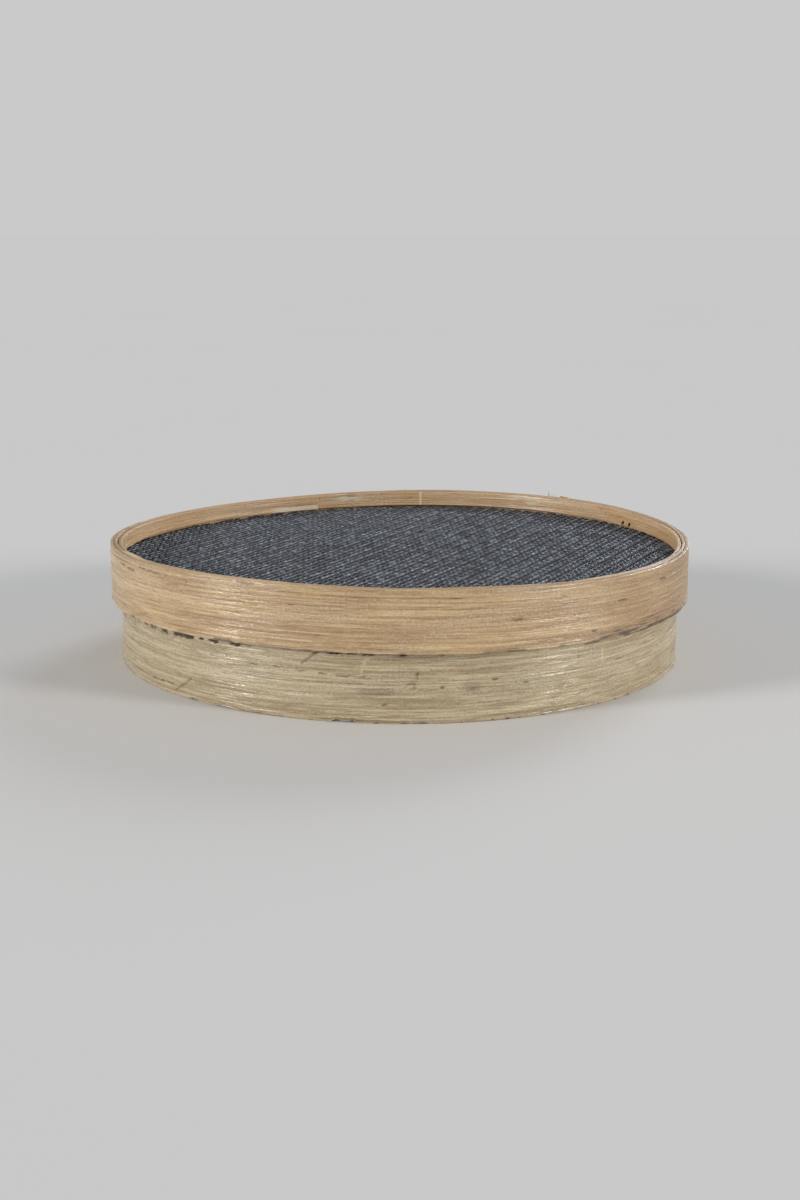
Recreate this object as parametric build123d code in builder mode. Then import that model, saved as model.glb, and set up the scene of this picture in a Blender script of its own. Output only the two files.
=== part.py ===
from build123d import *
import os
from math import cos, degrees, isclose, radians, sin

# A small drum sieve: a hoop of split bamboo carries a woven wire cloth across its
# top, and a wider band of three nested bamboo strips pushes down over the hoop,
# grips the folded edge of the cloth and leaves a shallow rim standing above it.
# Millimetres, +Z up, origin on the ground under the centre of the drum.

# ---- driving dimensions -------------------------------------------------------------
band_radius = 100.0  # outside of the band, the widest part of the sieve
total_height = 40.7  # ground to the top of the rim
band_width = 19.0  # height of the band's outer strip
rim_depth = 6.2  # the shallow tray, from the top of the rim to the cloth

outer_thickness = 1.3  # the band's outer strip
clamp_thickness = 1.0  # the strip inside it, which grips the cloth
keeper_thickness = 1.25  # the short strip that holds the cloth down from above
body_thickness = 2.2  # the drum's own hoop

cloth_thickness = 0.8  # two wires, one over the other
skirt_thickness = 0.5  # the folded edge, pressed flat between the hoops
skirt_length = 11.0  # how far the folded edge reaches down the hoop
fold_round = 0.8  # outside radius of the fold

fit_gap = 0.2  # between pieces that push on and pull off
strip_gap = 0.08  # between strips that are fastened together
keeper_gap = 0.3  # the keeper springs outwards and leaves this slit at the top
seat_gap = 0.1  # between the drum's top edge and the cloth
keeper_seat_gap = 0.25  # the keeper only touches the highest wires of the cloth

outer_drop = 0.35  # the outer strip ends this far under the top of the rim
keeper_drop = 0.5  # and so does the keeper
clamp_lift = 0.5  # the clamp strip starts this far above the outer strip's lower edge

body_lap_length = 42.0  # how far the two skived ends of the drum's hoop lie on each other
outer_lap_length = 34.0  # the same for the outer strip of the band
clamp_lap_length = 38.0
keeper_lap_length = 42.6
skive_gap = 0.05  # between the two faces of a skived joint
tip_thickness = 0.25  # a skived end isn't cut to nothing
edge_round = 0.3  # the softened long edges of a strip

# Where each joint has its middle, in degrees from +X, seen from above.
body_lap_angle = 74.0
outer_lap_angle = 41.5
clamp_lap_angle = 165.0
keeper_lap_angle = 122.9

peg_radius = 1.1  # bamboo pegs through the laps of the hoop and of the outer strip
peg_gap = 0.03
peg_inset = 0.04  # the pegs are cut off a hair under the surface
peg_margin = 9.0  # from a peg's centre to the end of its lap
body_peg_heights = (6.5, 15.0)
outer_peg_lift = 4.2  # the pegs' lowest row, above the outer strip's lower edge
outer_peg_rise = 4.4  # between their two rows

brad_radius = 0.45  # iron brads that hold the keeper
brad_head_radius = 1.0  # the heads are sunk in the outer strip
brad_head_thickness = 0.4
brad_lift = 1.7  # above the cloth
brad_tip = 0.1  # how far the point stands out of the keeper
brad_margin = 4.5  # from the end of a lap to the nearest brad
brad_spacing = 4.4  # between the two brads beside the outer strip's lap

# ---- what follows from them ---------------------------------------------------------
outer_inner_radius = band_radius - outer_thickness
clamp_radius = outer_inner_radius - strip_gap
clamp_inner_radius = clamp_radius - clamp_thickness
skirt_radius = clamp_inner_radius - fit_gap
skirt_inner_radius = skirt_radius - skirt_thickness
body_radius = skirt_inner_radius - fit_gap
body_inner_radius = body_radius - body_thickness
keeper_radius = clamp_inner_radius - keeper_gap
keeper_inner_radius = keeper_radius - keeper_thickness

band_bottom = total_height - outer_drop - band_width
clamp_bottom = band_bottom + clamp_lift
cloth_top = total_height - rim_depth
cloth_bottom = cloth_top - cloth_thickness
skirt_bottom = cloth_bottom - skirt_length
body_height = cloth_bottom - seat_gap
keeper_bottom = cloth_top + keeper_seat_gap
keeper_top = total_height - keeper_drop
brad_height = cloth_top + brad_lift
outer_peg_heights = (band_bottom + outer_peg_lift, band_bottom + outer_peg_lift + outer_peg_rise)


def polar(radius, angle):
    """A point on a circle about the axis, from an angle in degrees."""
    return (radius * cos(radians(angle)), radius * sin(radians(angle)))


def radial_planes(radius, angles, heights):
    """Planes that face straight out from the axis, at every angle and height."""
    planes = []
    for angle in angles:
        for height in heights:
            outwards = (*polar(1, angle), 0)
            planes.append(Plane(origin=(*polar(radius, angle), height), z_dir=outwards))
    return planes


def lap_ends(radius, length, middle):
    """The two angles, in degrees, between which a joint of this length lies."""
    half_angle = degrees(length / radius) / 2
    return (middle - half_angle, middle + half_angle)


def peg_angles(radius, length, middle):
    """The two angles at which a joint is pegged."""
    return lap_ends(radius, length - 2 * peg_margin, middle)


def hoop_section(inner_radius, outer_radius, length, middle):
    """A strip bent round until its skived ends lie on each other, seen from above."""
    start, end = lap_ends(outer_radius, length, middle)
    inner_tip = inner_radius + tip_thickness
    outer_tip = outer_radius - tip_thickness
    half_way = (inner_tip + outer_tip) / 2
    slit = degrees(skive_gap / outer_radius)
    reach = tip_thickness
    with BuildSketch() as section:
        Circle(outer_radius)
        Circle(inner_radius, mode=Mode.SUBTRACT)
        with BuildLine():
            near = ThreePointArc(
                polar(inner_tip, start + slit),
                polar(half_way - skive_gap / 2, middle),
                polar(outer_tip - skive_gap, end),
            )
            far = ThreePointArc(
                polar(inner_tip + skive_gap, start),
                polar(half_way + skive_gap / 2, middle),
                polar(outer_tip, end - slit),
            )
            Polyline(near @ 0, polar(inner_radius - reach, start + slit),
                     polar(inner_radius - reach, start), far @ 0)
            Polyline(far @ 1, polar(outer_radius + reach, end - slit),
                     polar(outer_radius + reach, end), near @ 1)
        make_face(mode=Mode.SUBTRACT)
    return section.sketch


def long_edges(hoop, inner_radius, outer_radius):
    """The edges that run round a hoop on its inner and outer faces."""
    edges = []
    for edge in hoop.edges().filter_by(GeomType.CIRCLE):
        on_inner_face = isclose(edge.radius, inner_radius, abs_tol=1e-4)
        on_outer_face = isclose(edge.radius, outer_radius, abs_tol=1e-4)
        if on_inner_face or on_outer_face:
            edges.append(edge)
    return edges


def soft_round(thickness):
    """The rounding of a strip's long edges, limited by its wall and its skived tips."""
    return min(edge_round, thickness / 4, tip_thickness * 0.7)


# ---- the drum's own hoop ------------------------------------------------------------
body_section = hoop_section(body_inner_radius, body_radius, body_lap_length, body_lap_angle)
body_peg_angles = peg_angles(body_radius, body_lap_length, body_lap_angle)
body_peg_planes = radial_planes(body_radius, body_peg_angles, body_peg_heights)

with BuildPart() as body_hoop:
    with BuildSketch(Plane.XY):
        add(body_section)
    extrude(amount=body_height)
    fillet(long_edges(body_hoop, body_inner_radius, body_radius), soft_round(body_thickness))
    with Locations(*body_peg_planes):
        Hole(peg_radius + peg_gap, depth=2 * body_thickness)
body_hoop.part.label = "body_hoop"

with BuildPart() as body_lap_pegs:
    with Locations(*[plane.offset(-peg_inset) for plane in body_peg_planes]):
        Cylinder(peg_radius, body_thickness - 2 * peg_inset,
                 align=(Align.CENTER, Align.CENTER, Align.MAX))
body_lap_pegs.part.label = "body_lap_pegs"

# ---- the wire cloth, a closed dish that stands for the woven wires --------------------
with BuildPart() as wire_cloth:
    with BuildSketch(Plane.XZ) as cloth_section:
        with BuildLine():
            Polyline((0, cloth_bottom), (skirt_inner_radius, cloth_bottom),
                     (skirt_inner_radius, skirt_bottom), (skirt_radius, skirt_bottom),
                     (skirt_radius, cloth_top), (0, cloth_top), close=True)
        make_face()
        fold = cloth_section.vertices().group_by(Axis.X)[-1].sort_by(Axis.Y)[-1]
        fillet(fold, fold_round)
    revolve(axis=Axis.Z)
wire_cloth.part.label = "wire_cloth"

# ---- the band: clamp strip, outer strip and keeper ------------------------------------
outer_section = hoop_section(outer_inner_radius, band_radius, outer_lap_length, outer_lap_angle)
clamp_section = hoop_section(clamp_inner_radius, clamp_radius, clamp_lap_length, clamp_lap_angle)
keeper_section = hoop_section(keeper_inner_radius, keeper_radius, keeper_lap_length,
                              keeper_lap_angle)
outer_peg_angles = peg_angles(band_radius, outer_lap_length, outer_lap_angle)
outer_peg_planes = radial_planes(band_radius, outer_peg_angles, outer_peg_heights)
band_depth = band_radius - keeper_inner_radius

outer_lap_start, outer_lap_end = lap_ends(band_radius, outer_lap_length, outer_lap_angle)
pair_angles = [outer_lap_start - degrees(step / band_radius)
               for step in (brad_margin, brad_margin + brad_spacing)]
keeper_brad_angles = lap_ends(keeper_radius, keeper_lap_length - 2 * brad_margin, keeper_lap_angle)
brad_planes = radial_planes(band_radius, [*pair_angles, *keeper_brad_angles], [brad_height])

with BuildPart() as clamp_hoop:
    with BuildSketch(Plane.XY.offset(clamp_bottom)):
        add(clamp_section)
    extrude(amount=total_height - clamp_bottom)
    fillet(long_edges(clamp_hoop, clamp_inner_radius, clamp_radius), soft_round(clamp_thickness))
    with Locations(*outer_peg_planes):
        Hole(peg_radius + peg_gap, depth=2 * band_depth)
    with Locations(*brad_planes):
        Hole(brad_radius + peg_gap, depth=2 * band_depth)
clamp_hoop.part.label = "clamp_hoop"

with BuildPart() as outer_hoop:
    with BuildSketch(Plane.XY.offset(band_bottom)):
        add(outer_section)
    extrude(amount=band_width)
    fillet(long_edges(outer_hoop, outer_inner_radius, band_radius), soft_round(outer_thickness))
    with Locations(*outer_peg_planes):
        Hole(peg_radius + peg_gap, depth=2 * band_depth)
    with Locations(*brad_planes):
        CounterBoreHole(brad_radius + peg_gap, brad_head_radius + peg_gap,
                        brad_head_thickness + peg_inset, depth=2 * band_depth)
outer_hoop.part.label = "outer_hoop"

with BuildPart() as keeper_ring:
    with BuildSketch(Plane.XY.offset(keeper_bottom)):
        add(keeper_section)
    extrude(amount=keeper_top - keeper_bottom)
    fillet(long_edges(keeper_ring, keeper_inner_radius, keeper_radius), soft_round(keeper_thickness))
    with Locations(*brad_planes):
        Hole(brad_radius + peg_gap, depth=2 * band_depth)
keeper_ring.part.label = "keeper_ring"

# ---- what fastens the band --------------------------------------------------------------
with BuildPart() as outer_lap_pegs:
    with Locations(*[plane.offset(-peg_inset) for plane in outer_peg_planes]):
        Cylinder(peg_radius, band_radius - clamp_inner_radius - 2 * peg_inset,
                 align=(Align.CENTER, Align.CENTER, Align.MAX))
outer_lap_pegs.part.label = "outer_lap_pegs"

with BuildPart() as keeper_brads:
    with Locations(*[plane.offset(-peg_inset) for plane in brad_planes]):
        Cylinder(brad_radius, band_depth - peg_inset + brad_tip,
                 align=(Align.CENTER, Align.CENTER, Align.MAX))
        Cylinder(brad_head_radius, brad_head_thickness - peg_gap,
                 align=(Align.CENTER, Align.CENTER, Align.MAX))
keeper_brads.part.label = "keeper_brads"

os.makedirs("parts", exist_ok=True)
export_step(body_hoop.part, "parts/body_hoop.step")
export_step(body_lap_pegs.part, "parts/body_lap_pegs.step")
export_step(wire_cloth.part, "parts/wire_cloth.step")
export_step(clamp_hoop.part, "parts/clamp_hoop.step")
export_step(outer_hoop.part, "parts/outer_hoop.step")
export_step(keeper_ring.part, "parts/keeper_ring.step")
export_step(outer_lap_pegs.part, "parts/outer_lap_pegs.step")
export_step(keeper_brads.part, "parts/keeper_brads.step")
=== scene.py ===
"""Drum sieve: the looks of a small bamboo sieve with a woven wire cloth.

The drum, the three strips of the band, the wires, the pegs, the brads and the
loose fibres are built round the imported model. Everything is in metres.
"""
import math

import bmesh
import bpy
import numpy as np
from bpy.props import FloatProperty, FloatVectorProperty, IntProperty, PointerProperty
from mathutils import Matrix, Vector


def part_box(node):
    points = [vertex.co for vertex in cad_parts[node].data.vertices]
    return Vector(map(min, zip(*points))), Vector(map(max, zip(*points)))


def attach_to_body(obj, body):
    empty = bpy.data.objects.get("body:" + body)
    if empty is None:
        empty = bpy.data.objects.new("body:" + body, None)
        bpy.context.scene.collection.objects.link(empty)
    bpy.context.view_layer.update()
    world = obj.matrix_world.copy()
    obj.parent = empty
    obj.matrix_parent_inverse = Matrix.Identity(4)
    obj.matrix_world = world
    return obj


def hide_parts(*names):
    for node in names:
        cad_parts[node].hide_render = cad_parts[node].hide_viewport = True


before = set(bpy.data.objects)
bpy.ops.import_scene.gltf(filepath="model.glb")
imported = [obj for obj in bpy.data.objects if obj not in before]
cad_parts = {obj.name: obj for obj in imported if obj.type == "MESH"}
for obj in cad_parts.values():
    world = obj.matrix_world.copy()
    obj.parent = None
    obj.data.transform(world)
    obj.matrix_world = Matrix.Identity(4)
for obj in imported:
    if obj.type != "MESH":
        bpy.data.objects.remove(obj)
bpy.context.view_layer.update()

bl_info = {
    "name": "Drum Sieve",
    "version": (1, 0, 0),
    "blender": (4, 5, 0),
    "location": "3D View > Sidebar > Sieve",
    "description": "Builds a bamboo drum sieve round its packed frame",
    "category": "Add Mesh",
}

MM = 0.001
TOP = {node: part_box(node)[1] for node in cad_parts}
LOW = {node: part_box(node)[0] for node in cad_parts}
BAND_RADIUS = TOP["outer_hoop"].x
CLAMP_RADIUS = TOP["clamp_hoop"].x
KEEPER_RADIUS = TOP["keeper_ring"].x
SKIRT_RADIUS = TOP["wire_cloth"].x
DRUM_RADIUS = TOP["body_hoop"].x
RIM_HEIGHT = TOP["clamp_hoop"].z
CLOTH_HEIGHT = TOP["wire_cloth"].z
CLOTH_FOOT = LOW["wire_cloth"].z
SEAM = LOW["outer_hoop"].z

CLOTH_THICKNESS = 0.8 * MM
WIRE_INSET = 0.25 * MM  # from the skirt's outside to the middle of its wires
PEG_RADIUS = 1.1 * MM
BRAD_RADIUS = 0.45 * MM
BRAD_HEAD_RADIUS = 1.0 * MM
FLOOR_HALF = 60.0
FLOOR_DROP = 0.05 * MM  # keeps the floor clear of the drum's lower edge


# ---- settings ------------------------------------------------------------------------

def length_setting(name, description, millimetres):
    return FloatProperty(name=name, description=description, default=millimetres * MM, unit="LENGTH")


def pair_setting(name, description, first, second):
    return FloatVectorProperty(name=name, description=description, size=2,
                               default=(first * MM, second * MM), unit="LENGTH")


def lap_setting(name, degrees, millimetres):
    return FloatVectorProperty(name=name, description="Middle angle and length of the lap", size=2,
                               default=(math.radians(degrees), millimetres * MM))


def angle_setting(name, description, degrees):
    return FloatProperty(name=name, description=description, default=math.radians(degrees),
                         subtype="ANGLE")


def colour_setting(name, description, *colour):
    return FloatVectorProperty(name=name, description=description, subtype="COLOR", default=colour)


def number_setting(name, description, default):
    return FloatProperty(name=name, description=description, default=default)


class SieveShape(bpy.types.PropertyGroup):
    """How the bent strips differ from true circles, and where their laps are."""
    corners: pair_setting("Corners", "Three-cornered swell of the hoops", -0.56, 0.31)
    tilt: pair_setting("Tilt", "Rise of the rim towards the right and the back", 0.07, -0.82)
    twist: pair_setting("Twist", "Saddle-shaped rise of the rim, across and aslant", -0.58, 0.74)
    drum_wall: length_setting("Drum wall", "Thickness of the drum's hoop", 2.2)
    clamp_wall: length_setting("Clamp strip", "Thickness of the clamp strip", 1.0)
    keeper_wall: length_setting("Keeper", "Thickness of the keeper", 1.25)
    strip_gap: length_setting("Strip gap", "Slit between two fastened strips", 0.08)
    drum_lap: lap_setting("Drum lap", 74.0, 42.0)
    outer_lap: lap_setting("Outer lap", 41.5, 34.0)
    clamp_lap: lap_setting("Clamp lap", 165.0, 38.0)
    keeper_lap: lap_setting("Keeper lap", 122.9, 42.6)
    tip: length_setting("Tip", "Thickness left at a skived end", 0.25)


class ClothSettings(bpy.types.PropertyGroup):
    """The weave of the wire cloth."""
    warp_pitch: length_setting("Warp pitch", "Between two warp wires", 1.673)
    weft_pitch: length_setting("Weft pitch", "Between two weft wires", 1.82)
    wire_radius: length_setting("Wire radius", "Half the wire's thickness", 0.23)
    crimp: length_setting("Crimp", "How far a wire bends up and down over the others", 0.24)
    turn: angle_setting("Turn", "The warp's direction, from +X", 64.4)
    grouping: number_setting("Grouping", "How strongly the warp stands in groups of three", 0.30)
    dip: length_setting("Dip", "How far the cloth sinks between two groups of warp wires", 0.16)
    wander: length_setting("Wander", "How far a wire strays sideways", 0.20)
    shares: IntProperty(name="Shares", description="Pieces that each set of wires is split into", default=3)


class Colours(bpy.types.PropertyGroup):
    """The colours of bamboo, wire and iron."""
    band_light: colour_setting("Band, light", "Raised fibres of the band", 0.74, 0.525, 0.275)
    band_dark: colour_setting("Band, dark", "Between the band's fibres", 0.43, 0.265, 0.125)
    drum_light: colour_setting("Drum, light", "Raised fibres of the drum", 0.64, 0.53, 0.335)
    drum_dark: colour_setting("Drum, dark", "Between the drum's fibres", 0.38, 0.285, 0.155)
    pith_light: colour_setting("Pith, light", "The inner side of a strip", 0.74, 0.50, 0.27)
    pith_dark: colour_setting("Pith, dark", "Streaks on the inner side", 0.46, 0.265, 0.115)
    # This colour also paints the shadow in the slots below the band and the shade under its foot.
    crack_and_shadow: colour_setting("Crack", "Splits, pits and stains", 0.105, 0.058, 0.028)
    bleached: colour_setting("Bleached", "Weathered, peeled fibre", 0.82, 0.73, 0.57)
    wire: colour_setting("Wire", "The cloth's wires", 0.098, 0.104, 0.117)
    iron: colour_setting("Iron", "The brads", 0.035, 0.028, 0.024)


class StudioSettings(bpy.types.PropertyGroup):
    """Floor, lights and camera."""
    floor: colour_setting("Floor", "Colour of the floor", 0.80, 0.795, 0.785)
    side_strength: number_setting("Side lights", "Strength of the two side lights", 1.66)
    side_angle: angle_setting("Side lights' angle", "From the camera to each side light", 66.0)
    back_strength: number_setting("Back light", "Strength of the low light at the back", 1.0)
    ambient: number_setting("Ambient", "Strength of the surrounding light", 0.36)
    distance: length_setting("Distance", "From the camera to the sieve's middle", 587.4)
    elevation: angle_setting("Elevation", "Height of the camera as an angle", 12.17)
    aim_height: length_setting("Aim", "Height of the point that the camera looks at", 20.0)


# ---- nodes as Python expressions --------------------------------------------------------

class Value:
    """A node socket that adds Math nodes when it stands in an expression."""

    def __init__(self, tree, socket):
        self.tree = tree
        self.socket = socket

    def math(self, operation, *others):
        inputs = dict(enumerate((self, *others)))
        return Graph(self.tree).node("ShaderNodeMath", {"operation": operation}, inputs)

    def __add__(self, other):
        return self.math("ADD", other)

    def __sub__(self, other):
        return self.math("SUBTRACT", other)

    def __rsub__(self, other):
        return self.math("MULTIPLY", -1.0).math("ADD", other)

    def __mul__(self, other):
        return self.math("MULTIPLY", other)

    def __truediv__(self, other):
        return self.math("DIVIDE", other)

    def __neg__(self):
        return self.math("MULTIPLY", -1.0)

    __radd__ = __add__
    __rmul__ = __mul__

    def step(self, low, high):
        """0 below low, 1 above high and smooth between; low may be the larger."""
        return Graph(self.tree).node("ShaderNodeMapRange", {"interpolation_type": "SMOOTHSTEP"}, {
            "Value": self, "From Min": low, "From Max": high, "To Min": 0.0, "To Max": 1.0})


def feed(tree, slot, value):
    """Links a Value to an input, or sets the input to a plain number, colour or vector."""
    if isinstance(value, Value):
        tree.links.new(value.socket, slot)
    else:
        slot.default_value = value


class Graph:
    """A node tree and the one method that adds any other node to it."""

    def __init__(self, tree):
        self.tree = tree

    def node(self, kind, settings, inputs, output=0):
        """Adds a node: its settings first, then the values or links of its sockets.

        Gives one of its outputs, or nothing where output is None.
        """
        node = self.tree.nodes.new(kind)
        for name, value in settings.items():
            setattr(node, name, value)
        for name, value in inputs.items():
            slot = node.inputs[name] if isinstance(name, int) else open_slot(node.inputs, name)
            feed(self.tree, slot, value)
        if output is None:
            return None
        found = node.outputs[output] if isinstance(output, int) else open_slot(node.outputs, output)
        return Value(self.tree, found)


def open_slot(slots, name):
    """The socket of that name that the node's settings leave in use."""
    return next(slot for slot in slots if slot.name == name and slot.enabled)


def group_input(graph, kind, name, default):
    """A named input of a geometry tree, as a Value."""
    socket = graph.tree.interface.new_socket(name, in_out="INPUT", socket_type=kind)
    if default is not None:
        socket.default_value = default
    return graph.node("NodeGroupInput", {}, {}, name)


# ---- materials ----------------------------------------------------------------------------

class Paint(Graph):
    """A material's tree, with the few mixes that the finishes share."""

    def __init__(self, name):
        self.material = bpy.data.materials.new(name)
        self.material.use_nodes = True
        super().__init__(self.material.node_tree)
        self.shader = self.tree.nodes["Principled BSDF"]
        uv = self.node("ShaderNodeUVMap", {"uv_map": "UVMap"}, {})
        self.along = self.node("ShaderNodeSeparateXYZ", {}, {"Vector": uv}, "X")
        self.across = self.node("ShaderNodeSeparateXYZ", {}, {"Vector": uv}, "Y")

    def grain(self, run, width, detail=2.0, shift=0.0):
        """Noise stretched along the strip: a run and a width, both in metres."""
        place = self.node("ShaderNodeCombineXYZ", {}, {
            "X": self.along * (1.0 / run) + shift, "Y": self.across * (1.0 / width), "Z": shift})
        return self.node("ShaderNodeTexNoise", {"noise_dimensions": "3D"}, {
            "Vector": place, "Scale": 1.0, "Detail": detail, "Roughness": 0.55})

    def mark(self, name):
        """A number that the mesh holds at every point."""
        return self.node("ShaderNodeAttribute", {"attribute_name": name}, {}, "Fac")

    def mix(self, factor, first, second):
        """Between two colours."""
        first, second = [(*c, 1.0) if not isinstance(c, Value) and len(c) == 3 else c
                         for c in (first, second)]
        return self.node("ShaderNodeMix", {"data_type": "RGBA"}, {
            "Factor": factor, "A": first, "B": second}, "Result")

    def bump(self, height, distance):
        """Relief that is too fine for the mesh."""
        bumped = self.node("ShaderNodeBump", {}, {
            "Height": height, "Distance": distance, "Strength": 1.0})
        feed(self.tree, self.shader.inputs["Normal"], bumped)

    def finish(self, **sockets):
        """Fills the shader's sockets, their names with _ for a space, and gives the material."""
        for name, value in sockets.items():
            value = (*value, 1.0) if isinstance(value, tuple) and len(value) == 3 else value
            feed(self.tree, self.shader.inputs[name.replace("_", " ")], value)
        return self.material


def bamboo(name, light, dark, crack_and_shadow, bleached, grey, gloss):
    """Split bamboo: long pale fibres, a fine grit, splits, stains and weathered patches, with painted
    highlight in its pale streaks and painted shadow in its darkest marks.
    """
    paint = Paint(name)
    fibre, stain_and_shade, bleach = paint.mark("fibre"), paint.mark("stain_and_shade"), paint.mark("bleach")
    fine = paint.grain(3.2 * MM, 0.36 * MM, 3.0)
    middle = paint.grain(55 * MM, 1.1 * MM, 2.0, 3.0)
    broad = paint.grain(110 * MM, 3.2 * MM, 1.0, 5.0)
    patches = paint.grain(26 * MM, 7 * MM, 3.0, 7.0)
    pale_lines = paint.grain(20 * MM, 0.60 * MM, 2.0, 11.0)
    dark_lines = paint.grain(13 * MM, 0.45 * MM, 1.0, 13.0)
    dashes = paint.grain(1.6 * MM, 0.36 * MM, 1.0, 17.0)
    checks = paint.grain(0.42 * MM, 0.80 * MM, 1.0, 23.0)
    check_patches = paint.grain(20 * MM, 4.5 * MM, 2.0, 29.0)
    specks = paint.grain(0.85 * MM, 0.60 * MM, 2.0, 31.0)
    pale = tuple(0.62 * c + 0.38 * b for c, b in zip(light, (1.0, 0.93, 0.78)))

    tone = (fine.step(0.30, 0.70) * 0.24 + middle.step(0.34, 0.66) * 0.34
            + broad.step(0.38, 0.62) * 0.16 + fibre * 0.80 + 0.10)
    colour = paint.mix(tone.math("MAXIMUM", 0.0).math("MINIMUM", 1.0), dark, light)
    worn = patches.step(0.42, 0.66)
    colour = paint.mix(worn * 0.30, colour, grey)
    # Pale streaks along the grain, stronger on raised fibre: partly pale fibre and partly painted highlight.
    pale_fibre_and_glint = pale_lines.step(0.54, 0.68) * (0.30 + fibre * 0.9)
    colour = paint.mix(pale_fibre_and_glint.math("MAXIMUM", 0.0), colour, pale)
    colour = paint.mix(dark_lines.step(0.62, 0.76) * 0.24, colour, crack_and_shadow)
    spotted = specks.step(0.54, 0.70) * (0.5 + 0.5 * worn)
    colour = paint.mix(spotted * 0.36, colour, crack_and_shadow)
    colour = paint.mix(specks.step(0.46, 0.30) * (0.5 + 0.5 * worn) * 0.60, colour, pale)
    short = dashes.step(0.68, 0.80) * (0.35 + 0.65 * worn)
    colour = paint.mix(short * 0.45, colour, crack_and_shadow)
    ticks = checks.step(0.56, 0.70) * check_patches.step(0.46, 0.58)
    colour = paint.mix(ticks * 0.20, colour, crack_and_shadow)
    # Stains, splits and pits, and the painted shade under the band's foot.
    colour = paint.mix(stain_and_shade.step(0.0, 1.0) * 0.92, colour, crack_and_shadow)
    # The heaviest marks go near black: painted shadow in the slots below the band.
    colour = paint.mix(stain_and_shade.step(0.95, 1.6), colour, tuple(c * 0.22 for c in crack_and_shadow))
    colour = paint.mix(bleach.step(0.0, 1.0) * 0.8, colour, bleached)

    height = (fine * 0.6 + middle * 0.5 + pale_lines.step(0.50, 0.70) * 0.6
              - dark_lines.step(0.60, 0.76) * 0.5 - short * 0.7 - ticks * 0.3 + specks * 0.6)
    paint.bump(height, 0.15 * MM)
    rough = gloss - 0.10 + fine * 0.14 + worn * 0.12 + stain_and_shade * 0.2 - fibre * 0.12
    return paint.finish(Base_Color=colour, Roughness=rough, Specular_IOR_Level=1.0)


def dark_wire(name, wire, turn, group):
    """Drawn steel wire, dulled and uneven, with painted light: a painted highlight along each wire's top,
    partly wear, painted glints, and painted shade between groups of warp wires.
    """
    paint = Paint(name)
    place = paint.node("ShaderNodeTexCoord", {}, {}, "Object")
    turned = paint.node("ShaderNodeMapping", {"vector_type": "TEXTURE"}, {
        "Vector": place, "Rotation": (0.0, 0.0, turn)})
    along, across = [paint.node("ShaderNodeSeparateXYZ", {}, {"Vector": turned}, axis) for axis in "XY"]
    streak_place = paint.node("ShaderNodeCombineXYZ", {}, {"X": along * 30.0, "Y": across * 620.0})
    streak = paint.node("ShaderNodeTexNoise", {}, {"Vector": streak_place, "Scale": 1.0, "Detail": 2.0})
    blotch = paint.node("ShaderNodeTexNoise", {}, {"Vector": place, "Scale": 45.0, "Detail": 3.0})
    grit = paint.node("ShaderNodeTexNoise", {}, {"Vector": place, "Scale": 420.0, "Detail": 2.0})
    # Painted shade in the wide gaps between groups of warp wires, where the cloth sinks.
    gap_shade = (across * (-2 * math.pi / group)).math("COSINE").step(0.30, 0.95)
    # Painted highlight along each wire's upward-facing side, partly wear: lighter where the normal points up.
    crown = paint.node("ShaderNodeSeparateXYZ", {}, {
        "Vector": paint.node("ShaderNodeNewGeometry", {}, {}, "Normal")}, "Z").step(0.55, 0.98)
    gap_shade_colour = tuple(c * 0.22 for c in wire)
    wear_and_glint_colour = tuple(min(1.0, c * 5.4) for c in wire)
    colour = paint.mix(blotch.step(0.30, 0.60) * 0.6 + streak.step(0.35, 0.6) * 0.4,
                       tuple(c * 0.55 for c in wire), wire)
    # Painted glints: small light specks along the wires.
    colour = paint.mix(grit.step(0.50, 0.66) * streak.step(0.36, 0.58) * 0.5, colour, wear_and_glint_colour)
    colour = paint.mix(crown * (0.24 + grit.step(0.42, 0.58) * 0.60), colour, wear_and_glint_colour)
    colour = paint.mix(gap_shade * 0.65, colour, gap_shade_colour)
    rough = 0.32 + blotch * 0.10 + grit * 0.10 + gap_shade * 0.15
    return paint.finish(Base_Color=colour, Metallic=0.85, Roughness=rough)


def cut_end(name, light, dark):
    """The cut end of a bamboo peg, with the dark dots of its fibre bundles."""
    paint = Paint(name)
    place = paint.node("ShaderNodeTexCoord", {}, {}, "Object")
    dots = paint.node("ShaderNodeTexVoronoi", {"feature": "F1"}, {"Vector": place, "Scale": 2600.0})
    cloud = paint.node("ShaderNodeTexNoise", {}, {"Vector": place, "Scale": 500.0, "Detail": 2.0})
    colour = paint.mix(dots.step(0.18, 0.42) * (0.6 + 0.4 * cloud), dark, light)
    paint.bump(dots, 0.05 * MM)
    return paint.finish(Base_Color=colour, Roughness=0.72)


def black_iron(name, iron):
    """Blackened iron with brown rust in places."""
    paint = Paint(name)
    place = paint.node("ShaderNodeTexCoord", {}, {}, "Object")
    rust = paint.node("ShaderNodeTexNoise", {}, {"Vector": place, "Scale": 1400.0, "Detail": 3.0})
    colour = paint.mix(rust.step(0.5, 0.65), iron, (0.11, 0.05, 0.025))
    return paint.finish(Base_Color=colour, Metallic=0.6, Roughness=0.45 + rust * 0.3)


def loose_fibre(name, pale, warm):
    """Thin fibres that have come away, some pale and some warmer."""
    paint = Paint(name)
    place = paint.node("ShaderNodeTexCoord", {}, {}, "Object")
    vary = paint.node("ShaderNodeTexNoise", {}, {"Vector": place, "Scale": 260.0, "Detail": 1.0})
    colour = paint.mix(vary.step(0.35, 0.65), warm, pale)
    return paint.finish(Base_Color=colour, Roughness=0.6)


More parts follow.
